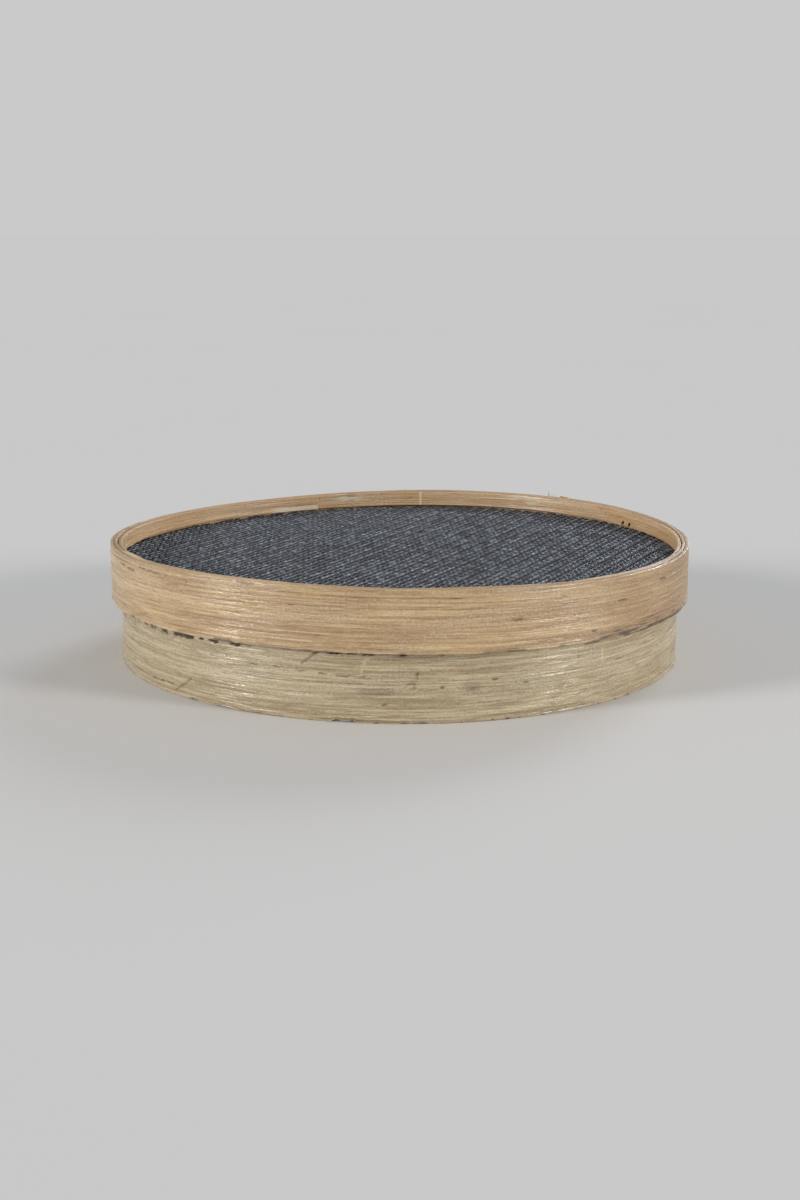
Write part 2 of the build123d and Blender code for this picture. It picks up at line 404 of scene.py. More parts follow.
def plain_floor(name, tone):
    """A plain pale floor with hardly visible mottling."""
    paint = Paint(name)
    place = paint.node("ShaderNodeTexCoord", {}, {}, "Object")
    cloud = paint.node("ShaderNodeTexNoise", {}, {"Vector": place, "Scale": 3.0, "Detail": 4.0})
    colour = paint.mix(cloud, tuple(c * 0.97 for c in tone), tone)
    return paint.finish(Base_Color=colour, Roughness=0.9, Specular_IOR_Level=0.0)


# ---- mesh helpers ---------------------------------------------------------------------------

def settle(points, shape):
    """Takes true circles to the sieve's own shape: a little three-cornered, with a twisted rim."""
    x, y, z = points[:, 0], points[:, 1], points[:, 2]
    radius = np.hypot(x, y)
    angle = np.arctan2(y, x)
    share = radius / BAND_RADIUS
    swell = shape.corners[0] * np.cos(3 * angle) + shape.corners[1] * np.sin(3 * angle)
    stretch = 1 + swell * share ** 2 / BAND_RADIUS
    rise = (shape.tilt[0] * np.cos(angle) + shape.tilt[1] * np.sin(angle)
            + shape.twist[0] * np.cos(2 * angle) + shape.twist[1] * np.sin(2 * angle))
    lift = rise * share ** 2 * z / RIM_HEIGHT
    return np.column_stack([x * stretch, y * stretch, z + lift])


def mesh_object(name, points, faces, material, smooth=True):
    """A mesh object at the origin, its place in its points."""
    mesh = bpy.data.meshes.new(name)
    mesh.from_pydata(points.tolist(), [], faces)
    mesh.polygons.foreach_set("use_smooth", [smooth] * len(mesh.polygons))
    mesh.materials.append(material)
    mesh.update()
    piece = bpy.data.objects.new(name, mesh)
    bpy.context.scene.collection.objects.link(piece)
    return piece


def evaluated_mesh(piece, name):
    """Replaces a piece's modifiers with the plain mesh that they make."""
    depsgraph = bpy.context.evaluated_depsgraph_get()
    mesh = bpy.data.meshes.new_from_object(piece.evaluated_get(depsgraph))
    mesh.name = name
    piece.modifiers.clear()
    piece.data = mesh
    return piece


def attach(piece, body, slot, *nodes):
    """The piece moves with its body and stands for the nodes. The slot is not used."""
    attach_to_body(piece, body)
    if nodes:
        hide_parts(*nodes)


def along_grain(rng, columns, rows, run):
    """Noise in long runs: it drifts slowly along a strip and jumps from row to row."""
    knots = rng.standard_normal((int(columns / run) + 4, rows))
    place = np.arange(columns) / run + rng.random()
    index = place.astype(int)
    t = (place - index)[:, None]
    t = t * t * (3 - 2 * t)
    return knots[index] * (1 - t) + knots[index + 1] * t


def blur_rows(field, passes):
    """Makes neighbouring rows of a field agree."""
    for _ in range(passes):
        padded = np.pad(field, ((0, 0), (1, 1)), mode="edge")
        field = (padded[:, :-2] + 2 * padded[:, 1:-1] + padded[:, 2:]) / 4
    return field


def add_dashes(field, rng, count, lengths, depth):
    """Short marks along the grain, each tapering at both ends."""
    columns, rows = field.shape
    for _ in range(count):
        length = int(rng.integers(*lengths))
        start = int(rng.integers(0, columns - length))
        row = int(rng.integers(0, rows - 1))
        taper = np.sin(np.linspace(0, math.pi, length + 2)[1:-1]) ** 0.5
        field[start:start + length, row] += depth * taper * rng.uniform(0.5, 1.0)


def add_splits(field, rng, count, lengths, depth):
    """Long splits that wander slowly from row to row."""
    columns, rows = field.shape
    for _ in range(count):
        length = int(rng.integers(*lengths))
        start = int(rng.integers(0, columns - length))
        steps = np.cumsum(rng.choice([-1, 1], length) * (rng.random(length) < 0.03))
        row = np.clip(int(rng.integers(2, rows - 2)) + steps, 1, rows - 2)
        taper = np.sin(np.linspace(0, math.pi, length + 2)[1:-1]) ** 0.4
        field[np.arange(start, start + length), row] += depth * taper * rng.uniform(0.6, 1.0)


def near(angles, middle, half_width):
    """1 at an angle, 0 past half_width from it and smooth between, all in degrees."""
    apart = np.abs((np.degrees(angles) - middle + 180) % 360 - 180)
    t = np.clip(1 - apart / half_width, 0, 1)
    return t * t * (3 - 2 * t)


class Strip:
    """One bent strip: its grid, its reliefs and the closed mesh that they make.

    The strip starts under its own lap, runs once round and ends on top of it. A
    cross-section goes up the outer face, over the top edge, down the inner face
    and back along the lower edge.
    """

    EDGE = 0.28 * MM

    def __init__(self, inner, outer, bottom, top, lap, step, face_rows, back_rows, shape):
        self.inner, self.outer, self.bottom, self.top = inner, outer, bottom, top
        self.shape = shape
        half_lap = lap[1] / outer / 2
        self.start, self.end = lap[0] - half_lap, lap[0] + half_lap
        travel = 2 * math.pi + self.end - self.start
        self.columns = int(travel * outer / step)
        self.angles = np.linspace(self.start, self.end + 2 * math.pi, self.columns)
        self.face = self.rows(face_rows)
        self.back = self.rows(back_rows)
        self.marks = {name: {"face": np.zeros((self.columns, len(self.face))),
                             "back": np.zeros((self.columns, len(self.back)))}
                      for name in ("relief", "fibre", "stain_and_shade", "bleach")}
        self.top_rise = np.zeros(self.columns)
        self.bottom_rise = np.zeros(self.columns)

    def rows(self, inside):
        """Heights of the rows of a face, closer together at its edges."""
        height = self.top - self.bottom
        edge = self.EDGE
        middle = np.asarray(inside) * (height - 2 * edge) + edge
        low = np.array([0.0, 0.15, 0.5]) * edge
        return np.concatenate([low, middle, height - low[::-1]])

    def walls(self):
        """Inner and outer radius at every column: both ends are skived to thin tips."""
        lap = self.end - self.start
        tip, room = self.shape.tip, self.outer - self.inner
        first = np.clip((self.angles - self.start) / lap, 0, 1)
        last = np.clip((self.angles - self.start - 2 * math.pi) / lap, 0, 1)
        slope = room - 2 * tip
        outer = self.inner + tip + slope * first - 0.03 * MM
        outer = np.where(first >= 1, self.outer, outer)
        inner = np.where(last > 0, self.inner + tip + slope * last + 0.03 * MM, self.inner)
        return inner, outer

    def rounding(self, heights):
        """How far a face draws back at a row because its edges are rounded."""
        height = self.top - self.bottom
        depth = np.clip(self.EDGE - np.minimum(heights, height - heights), 0, self.EDGE)
        return self.EDGE - np.sqrt(self.EDGE ** 2 - depth ** 2 + 1e-18)

    def heights(self, rows):
        """Rows follow their edges up or down, and ignore them further in."""
        height = self.top - self.bottom
        reach = min(2.2 * MM, height / 2)
        low = np.clip(1 - rows / reach, 0, 1) ** 1.5
        high = np.clip(1 - (height - rows) / reach, 0, 1) ** 1.5
        return (self.bottom + rows[None, :] + self.bottom_rise[:, None] * low[None, :]
                + self.top_rise[:, None] * high[None, :])

    def build(self, name, material, edge_points=3):
        inner, outer = self.walls()
        wall = (outer - inner)[:, None]
        limit = np.minimum(1.0, wall / (self.outer - self.inner))
        face_r = outer[:, None] - self.rounding(self.face)[None, :] * limit
        face_r = face_r + self.marks["relief"]["face"] * limit
        back_r = inner[:, None] + self.rounding(self.back)[None, :] * limit
        back_r = back_r - self.marks["relief"]["back"] * limit
        face_z, back_z = self.heights(self.face), self.heights(self.back)
        share = np.linspace(0, 1, edge_points + 2)[1:-1][None, :]
        top_r = face_r[:, -1:] * (1 - share) + back_r[:, -1:] * share
        top_z = face_z[:, -1:] * (1 - share) + back_z[:, -1:] * share
        low_r = back_r[:, :1] * (1 - share) + face_r[:, :1] * share
        low_z = back_z[:, :1] * (1 - share) + face_z[:, :1] * share
        swell = np.sin(share * math.pi) * 0.05 * MM
        ring_r = np.hstack([face_r, top_r, back_r[:, ::-1], low_r])
        ring_z = np.hstack([face_z, top_z + swell, back_z[:, ::-1], low_z])
        columns, around = ring_r.shape
        turn = self.angles[:, None]
        points = np.stack([ring_r * np.cos(turn), ring_r * np.sin(turn), ring_z], axis=2)
        points = settle(points.reshape(-1, 3), self.shape)

        column = np.arange(columns - 1)[:, None] * around
        row = np.arange(around)[None, :]
        after = (row + 1) % around
        quads = np.stack([column + row, column + around + row,
                          column + around + after, column + after], axis=2).reshape(-1, 4)
        faces = quads.tolist()
        faces.append(list(range(around)))
        faces.append([(columns - 1) * around + i for i in range(around)][::-1])
        piece = mesh_object(name, points, faces, material)
        self.write_uv(piece.data, ring_r, ring_z, columns, around)
        self.write_marks(piece.data, edge_points)
        return piece

    def write_uv(self, mesh, ring_r, ring_z, columns, around):
        """UVs in metres: along the strip, and round its cross-section."""
        middle = columns // 2
        r, z = ring_r[middle], ring_z[middle]
        lengths = np.hypot(np.diff(r, append=r[0]), np.diff(z, append=z[0]))
        across = np.concatenate([[0.0], np.cumsum(lengths)])
        along = self.angles * self.outer
        k = np.repeat(np.arange(columns - 1), around)
        m = np.tile(np.arange(around), columns - 1)
        u = np.stack([along[k], along[k + 1], along[k + 1], along[k]], axis=1)
        v = np.stack([across[m], across[m], across[m + 1], across[m + 1]], axis=1)
        caps_v = np.concatenate([across[:-1], across[:-1][::-1]])
        caps_u = np.concatenate([along[0] + ring_r[0] - self.inner,
                                 along[-1] + ring_r[-1][::-1] - self.inner])
        uv = np.concatenate([np.stack([u.ravel(), v.ravel()], 1),
                             np.stack([caps_u, caps_v], 1)])
        layer = mesh.uv_layers.new(name="UVMap")
        layer.data.foreach_set("uv", uv.astype(np.float32).ravel())

    def write_marks(self, mesh, edge_points):
        for name in ("fibre", "stain_and_shade", "bleach"):
            face, back = self.marks[name]["face"], self.marks[name]["back"]
            share = np.linspace(0, 1, edge_points + 2)[1:-1][None, :]
            top = face[:, -1:] * (1 - share) + back[:, -1:] * share
            low = back[:, :1] * (1 - share) + face[:, :1] * share
            ring = np.hstack([face, top, back[:, ::-1], low])
            layer = mesh.attributes.new(name, "FLOAT", "POINT")
            layer.data.foreach_set("value", ring.astype(np.float32).ravel())


def weather(strip, rng, side, ridge, splits, dashes):
    """Fibre ridges, long splits and short pits on one side of a strip."""
    columns, rows = strip.marks["relief"][side].shape
    fine = along_grain(rng, columns, rows, 14)
    middle = blur_rows(along_grain(rng, columns, rows, 40), 1)
    slow = blur_rows(along_grain(rng, columns, rows, 90), 5)
    grain = fine * 0.35 + middle * 0.8 + slow * 1.2
    pits = np.zeros((columns, rows))
    if rows > 8:
        add_splits(pits, rng, splits, (18, 80), 0.8)
        add_dashes(pits, rng, dashes, (1, 6), 0.8)
    strip.marks["relief"][side] += ridge * grain - 0.14 * MM * pits
    strip.marks["fibre"][side] += 0.26 * grain
    strip.marks["stain_and_shade"][side] += 0.62 * pits


def raise_ridges(strip, rng, side, pitch, height):
    """Ridges that run along the grain, side by side, and fade in and out. Their crests are paler: partly the
    fibre's own tone and partly painted highlight.
    """
    columns, rows = strip.marks["relief"][side].shape
    across = (strip.face if side == "face" else strip.back)[None, :]
    drift = blur_rows(along_grain(rng, columns, rows, 70), 8)
    strength = np.clip(0.45 + 0.55 * blur_rows(along_grain(rng, columns, rows, 30), 2), 0, 1)
    crest = np.clip(np.cos(2 * math.pi * across / pitch + 2.6 * drift), 0, 1) ** 1.5 * strength
    strip.marks["relief"][side] += height * crest
    # Paler crests: partly fibre tone and partly painted highlight.
    strip.marks["fibre"][side] += 0.62 * crest - 0.14


def scatter_fibres(strip, seed, side, count, height, tone):
    """Short pale fibres that stand proud and dark ones that have sunk, all along the grain. The pale ones are
    partly their own tone and partly painted glint.
    """
    rng = np.random.default_rng(seed)
    pale = np.zeros(strip.marks["relief"][side].shape)
    dark = np.zeros_like(pale)
    for field in (pale, dark):
        add_dashes(field, rng, count, (3, 14), 1.0)
        add_dashes(field, rng, count // 4, (14, 46), 1.0)
    strip.marks["relief"][side] += height * (pale - dark)
    # Proud fibres paler, partly tone and partly painted glint; sunk ones darker.
    strip.marks["fibre"][side] += tone * (pale - dark)


def slot_marks(strip, rng, spots, depth, dirt_and_shade):
    """Dark slots in the outer face, each given by its two angles and its two heights. Where the darkness is
    strong, as in the slots below the band, it is painted shadow.
    """
    turned = np.degrees(strip.angles)
    for start, end, low, high in spots:
        middle, half = (start + end) / 2, (end - start) / 2
        apart = np.abs((turned - middle + 180) % 360 - 180)
        along = np.clip((1.25 - apart / half) * 3, 0, 1)[:, None]
        ragged = rng.uniform(-0.2, 0.2, strip.columns)[:, None] * MM
        rows = strip.face[None, :] + ragged
        over = (np.clip((rows - low * MM) / (0.2 * MM), 0, 1)
                * np.clip((high * MM - rows) / (0.2 * MM), 0, 1))
        strip.marks["stain_and_shade"]["face"] += dirt_and_shade * along * over
        strip.marks["relief"]["face"] -= depth * along * over


def scratch(strip, lines):
    """Thin scratches across the grain: angle and height of both ends, then how dark or pale."""
    across = np.radians(np.degrees(strip.angles) % 360)[:, None] * BAND_RADIUS
    rows = strip.face[None, :]
    for start, low, end, high, dark in lines:
        first = np.array([math.radians(start) * BAND_RADIUS, low * MM])
        run = np.array([math.radians(end) * BAND_RADIUS, high * MM]) - first
        share = np.clip(((across - first[0]) * run[0] + (rows - first[1]) * run[1]) / (run @ run), 0, 1)
        away = np.hypot(across - first[0] - share * run[0], rows - first[1] - share * run[1])
        line = np.exp(-(away / (0.42 * MM)) ** 2)
        strip.marks["stain_and_shade" if dark > 0 else "bleach"]["face"] += abs(dark) * line
        strip.marks["relief"]["face"] -= 0.06 * MM * line


def seam_stain(strip, rng, amount):
    """Brown staining along the foot of the band's face, in uneven patches."""
    reach = np.clip(1 - strip.face / (2.6 * MM), 0, 1)[None, :]
    patches = np.clip(along_grain(rng, strip.columns, 1, 9) * 0.5
                      + along_grain(rng, strip.columns, 1, 3) * 0.35, 0, 1)
    strip.marks["stain_and_shade"]["face"] += amount * reach ** 2 * patches


# Angle and height in millimetres of both ends, then how dark, or pale where it is below zero.
DRUM_SCRATCHES = (
    (222.0, 1.4, 227.2, 6.8, 0.7), (252.0, 16.8, 255.2, 20.8, 0.7), (272.2, 10.6, 273.0, 15.6, 0.6),
    (270.6, 11.0, 272.0, 12.6, 0.5), (309.8, 12.9, 310.1, 17.7, -0.6), (303.6, 13.2, 304.0, 16.8, 0.4),
    (262.6, 13.8, 263.8, 19.0, -0.6), (263.8, 19.0, 265.6, 20.4, -0.5), (277.2, 10.9, 277.5, 11.1, 1.1),
    (232.0, 15.2, 236.6, 18.8, 0.3), (286.0, 16.0, 286.2, 19.4, 0.3), (298.6, 14.4, 303.2, 15.0, -0.5))
# Start and end in degrees, then lowest and highest point in millimetres.
DRUM_DASHES = (
    (241.5, 243.2, 14.5, 15.2), (246.4, 248.0, 14.5, 15.2), (250.6, 252.6, 14.2, 14.9),
    (255.0, 256.6, 13.8, 14.5), (258.4, 261.0, 13.5, 14.2), (262.0, 263.8, 13.5, 14.2),
    (213.5, 216.0, 2.3, 3.1), (216.8, 218.4, 2.6, 3.5), (219.2, 221.5, 3.0, 3.8),
    (286.4, 287.4, 12.2, 13.2), (292.0, 293.2, 10.2, 11.0), (266.6, 267.6, 5.2, 6.1))
# The same for the slots below the band: shallow recesses painted near black, which is painted shadow.
DRUM_SLOT_SHADOWS = (
    (202.4, 204.2, 19.2, 20.7), (205.2, 207.6, 19.0, 20.5), (210.6, 212.0, 18.9, 20.3),
    (213.0, 215.2, 18.7, 20.2), (217.4, 219.4, 18.6, 20.2), (222.0, 224.6, 18.9, 20.4),
    (225.0, 227.8, 18.9, 20.4), (229.6, 230.6, 19.3, 20.3), (232.0, 234.0, 19.2, 20.4),
    (237.4, 239.4, 19.5, 20.5), (257.2, 259.4, 20.2, 20.9), (260.6, 261.9, 20.3, 20.9),
    (263.2, 265.2, 20.3, 20.9), (269.9, 270.9, 20.3, 20.9))
DRUM_STAINS = (
    (246.0, 262.0, 11.6, 12.2), (262.5, 268.5, 8.2, 10.8), (228.0, 233.0, 5.6, 6.4),
    (270.0, 276.0, 14.6, 15.2), (281.0, 284.0, 9.0, 12.0), (296.0, 309.0, 16.4, 17.0),
    (214.0, 224.0, 10.2, 10.8), (310.0, 322.0, 7.6, 8.2), (274.0, 296.0, 20.3, 20.9),
    (298.0, 312.0, 19.7, 20.7), (313.0, 332.0, 19.2, 20.4), (240.0, 256.0, 19.9, 20.7),
    (277.4, 279.8, 20.3, 20.9), (284.2, 285.4, 20.3, 20.9), (306.4, 309.0, 19.8, 20.6),
    (316.0, 317.6, 19.5, 20.2))
# The same for the outer strip, with heights above its own foot.
BAND_DASHES = (
    (203.2, 206.0, 15.4, 16.2), (207.6, 211.2, 14.9, 15.8), (213.5, 215.6, 16.7, 17.5),
    (216.4, 220.6, 16.5, 17.2), (228.0, 228.8, 15.4, 16.5), (240.6, 244.0, 17.6, 18.4),
    (311.7, 314.0, 10.9, 11.8), (289.2, 291.0, 8.9, 9.9), (325.6, 327.8, 14.2, 15.0),
    (250.2, 251.4, 12.6, 13.3), (305.2, 306.4, 3.0, 4.0), (298.4, 299.6, 15.0, 15.8))

# ---- the pieces ---------------------------------------------------------------------------------

def make_drum(shape, material):
    """The drum's hoop, with a ragged lower edge that still stands on the floor."""
    height = TOP["body_hoop"].z
    seen = (LOW["outer_hoop"].z + 1.5 * MM) / height
    face = np.concatenate([np.linspace(0, seen, 66), np.linspace(seen, 1, 9)[1:]])
    strip = Strip(DRUM_RADIUS - shape.drum_wall, DRUM_RADIUS, 0.0, height, shape.drum_lap,
                  0.92 * MM, face, np.linspace(0, 1, 28), shape)
    rng = np.random.default_rng(11)
    weather(strip, rng, "face", 0.05 * MM, 40, 420)
    weather(strip, rng, "back", 0.04 * MM, 12, 160)
    chips = np.clip(along_grain(rng, strip.columns, 1, 4)[:, 0] - 0.75, 0, 1.2)
    strip.bottom_rise = chips * 0.42 * MM
    nibbles = np.clip(along_grain(rng, strip.columns, 1, 1.5)[:, 0] - 0.9, 0, 1)
    strip.bottom_rise += nibbles * 0.25 * MM
    # Painted shade on the drum just below the band's foot, in uneven patches.
    under_band = np.exp(-((strip.face - LOW["outer_hoop"].z) / (1.5 * MM)) ** 2)[None, :]
    dirt_and_shade = np.clip(along_grain(rng, strip.columns, 1, 6), 0, 1) * 0.45
    strip.marks["stain_and_shade"]["face"] += under_band * dirt_and_shade
    raise_ridges(strip, rng, "face", 1.35 * MM, 0.10 * MM)
    scatter_fibres(strip, 61, "face", 1600, 0.07 * MM, 0.78)
    # Painted shadow in the slots below the band.
    slot_marks(strip, rng, DRUM_SLOT_SHADOWS, 0.45 * MM, 1.8)
    slot_marks(strip, rng, DRUM_STAINS, 0.0, 0.38)
    slot_marks(strip, np.random.default_rng(64), DRUM_DASHES, 0.12 * MM, 0.75)
    scratch(strip, DRUM_SCRATCHES)
    torn = np.clip(along_grain(np.random.default_rng(65), strip.columns, 1, 1.6)[:, 0] - 1.0, 0, 1)
    strip.bottom_rise += torn * 0.55 * MM
    fuzzy = near(strip.angles, 208, 26)[:, None]
    high = np.clip((strip.face - 12 * MM) / (6 * MM), 0, 1)[None, :]
    strip.marks["bleach"]["face"] += 0.30 * fuzzy * high
    return strip.build("drum_hoop", material)


def make_outer(shape, material):
    """The band's outer strip. Its upper lapped end has sprung up a little."""
    strip = Strip(CLAMP_RADIUS + shape.strip_gap, BAND_RADIUS, LOW["outer_hoop"].z,
                  TOP["outer_hoop"].z, shape.outer_lap, 0.92 * MM,
                  np.linspace(0, 1, 58), np.linspace(0, 1, 5), shape)
    rng = np.random.default_rng(5)
    weather(strip, rng, "face", 0.045 * MM, 30, 300)
    raise_ridges(strip, rng, "face", 1.45 * MM, 0.09 * MM)
    scatter_fibres(strip, 62, "face", 850, 0.06 * MM, 0.60)
    browner = near(strip.angles, 346, 58)[:, None]
    strip.marks["fibre"]["face"] -= 0.80 * browner
    strip.marks["stain_and_shade"]["face"] += 0.16 * browner
    rim_split = (strip.face > strip.face[-1] - 2.1 * MM) & (strip.face < strip.face[-1] - 1.7 * MM)
    along = near(strip.angles, 203, 14)[:, None] * rim_split[None, :]
    strip.marks["stain_and_shade"]["face"] += 0.9 * along
    strip.marks["relief"]["face"] -= 0.25 * MM * along
    slot_marks(strip, np.random.default_rng(66), BAND_DASHES, 0.10 * MM, 0.70)
    seam_stain(strip, rng, 1.0)
    damp = near(strip.angles, 322, 26)[:, None] * np.clip(1 - strip.face / (5.5 * MM), 0, 1)[None, :]
    strip.marks["stain_and_shade"]["face"] += damp * np.clip(0.25 + 0.35 * along_grain(
        rng, strip.columns, len(strip.face), 5), 0, 1) * 2.3
    strip.top_rise = blurred_wave(rng, strip.columns, 0.10 * MM)
    strip.bottom_rise = blurred_wave(rng, strip.columns, 0.12 * MM)
    ragged = np.clip(along_grain(rng, strip.columns, 1, 2.5)[:, 0] - 0.8, 0, 1)
    strip.bottom_rise += ragged * 0.30 * MM
    sprung = np.clip(1 - (strip.angles[-1] - strip.angles) * BAND_RADIUS / (5 * MM), 0, 1)
    strip.top_rise += 0.55 * MM * np.sqrt(sprung)
    return strip.build("outer_strip", material)


def blurred_wave(rng, columns, height):
    """A slow uneven wave along a strip."""
    return height * along_grain(rng, columns, 1, 38)[:, 0]


def make_clamp(shape, material):
    """The clamp strip. Its edge stands proud and bleached at the front left."""
    strip = Strip(CLAMP_RADIUS - shape.clamp_wall, CLAMP_RADIUS, LOW["clamp_hoop"].z,
                  RIM_HEIGHT, shape.clamp_lap, 1.0 * MM,
                  np.linspace(0, 1, 12), np.linspace(0, 1, 14), shape)
    rng = np.random.default_rng(21)
    weather(strip, rng, "face", 0.02 * MM, 4, 60)
    weather(strip, rng, "back", 0.02 * MM, 4, 60)
    proud = near(strip.angles, 208, 9)
    strip.top_rise = blurred_wave(rng, strip.columns, 0.12 * MM) - 0.15 * MM + 0.6 * MM * proud
    top_rows = {"face": strip.face, "back": strip.back}
    for side, rows in top_rows.items():
        high = np.clip((rows - rows[-1] + 2 * MM) / (1.2 * MM), 0, 1)[None, :]
        strip.marks["bleach"][side] += 0.55 * proud[:, None] * high
        strip.marks["stain_and_shade"][side] += 0.25 * (1 - proud[:, None]) * high
    return strip.build("clamp_strip", material)


def make_keeper(shape, material):
    """The keeper: the low wall above the cloth, with a peeled foot beside its lap."""
    strip = Strip(KEEPER_RADIUS - shape.keeper_wall, KEEPER_RADIUS, LOW["keeper_ring"].z,
                  TOP["keeper_ring"].z, shape.keeper_lap, 0.62 * MM,
                  np.linspace(0, 1, 8), np.linspace(0, 1, 20), shape)
    rng = np.random.default_rng(33)
    weather(strip, rng, "face", 0.02 * MM, 2, 30)
    weather(strip, rng, "back", 0.035 * MM, 14, 200)
    strip.top_rise = blurred_wave(rng, strip.columns, 0.12 * MM)
    rows = strip.back[None, :]
    lap_start = math.degrees(strip.start)
    beyond = np.degrees(strip.angles) - lap_start
    peeled = np.clip(beyond / 0.6, 0, 1) * np.clip((14.0 - beyond) / 5, 0, 1)
    peeled = peeled[:, None] * np.clip((1.7 * MM - rows) / (0.3 * MM), 0, 1)
    strip.marks["relief"]["back"] += 0.30 * MM * peeled
    strip.marks["bleach"]["back"] += 1.0 * peeled
    scatter_fibres(strip, 63, "back", 220, 0.03 * MM, 0.35)
    slit = np.exp(-((rows - 2.0 * MM) / (0.18 * MM)) ** 2) * near(strip.angles, lap_start + 5, 6)[:, None]
    strip.marks["stain_and_shade"]["back"] += 0.9 * slit
    flaky = near(strip.angles, 59, 8)[:, None] * np.clip(blur_rows(
        along_grain(rng, strip.columns, rows.shape[1], 7), 1) * 1.8, 0, 1)
    strip.marks["bleach"]["back"] += 1.2 * flaky
    nick = near(strip.angles, 85.3, 0.5)[:, None] * np.ones_like(rows)
    strip.marks["bleach"]["back"] += 1.0 * nick
    strip.marks["relief"]["back"] += 0.08 * MM * nick
    violet = near(strip.angles, 103, 6)[:, None] * np.clip((rows - 2.0 * MM) / (0.8 * MM), 0, 1)
    cloudy = np.clip(0.8 + blur_rows(along_grain(rng, strip.columns, rows.shape[1], 5), 3), 0, 1)
    strip.marks["bleach"]["back"] += 1.1 * violet * cloudy
    strip.marks["stain_and_shade"]["back"] += 0.38 * violet
    foot = np.clip(1 - rows / (1.0 * MM), 0, 1) ** 2
    strip.marks["stain_and_shade"]["back"] += 0.35 * foot * (0.6 + 0.4 * np.clip(
        along_grain(rng, strip.columns, 1, 8), -1, 1))
    return strip.build("keeper", material)


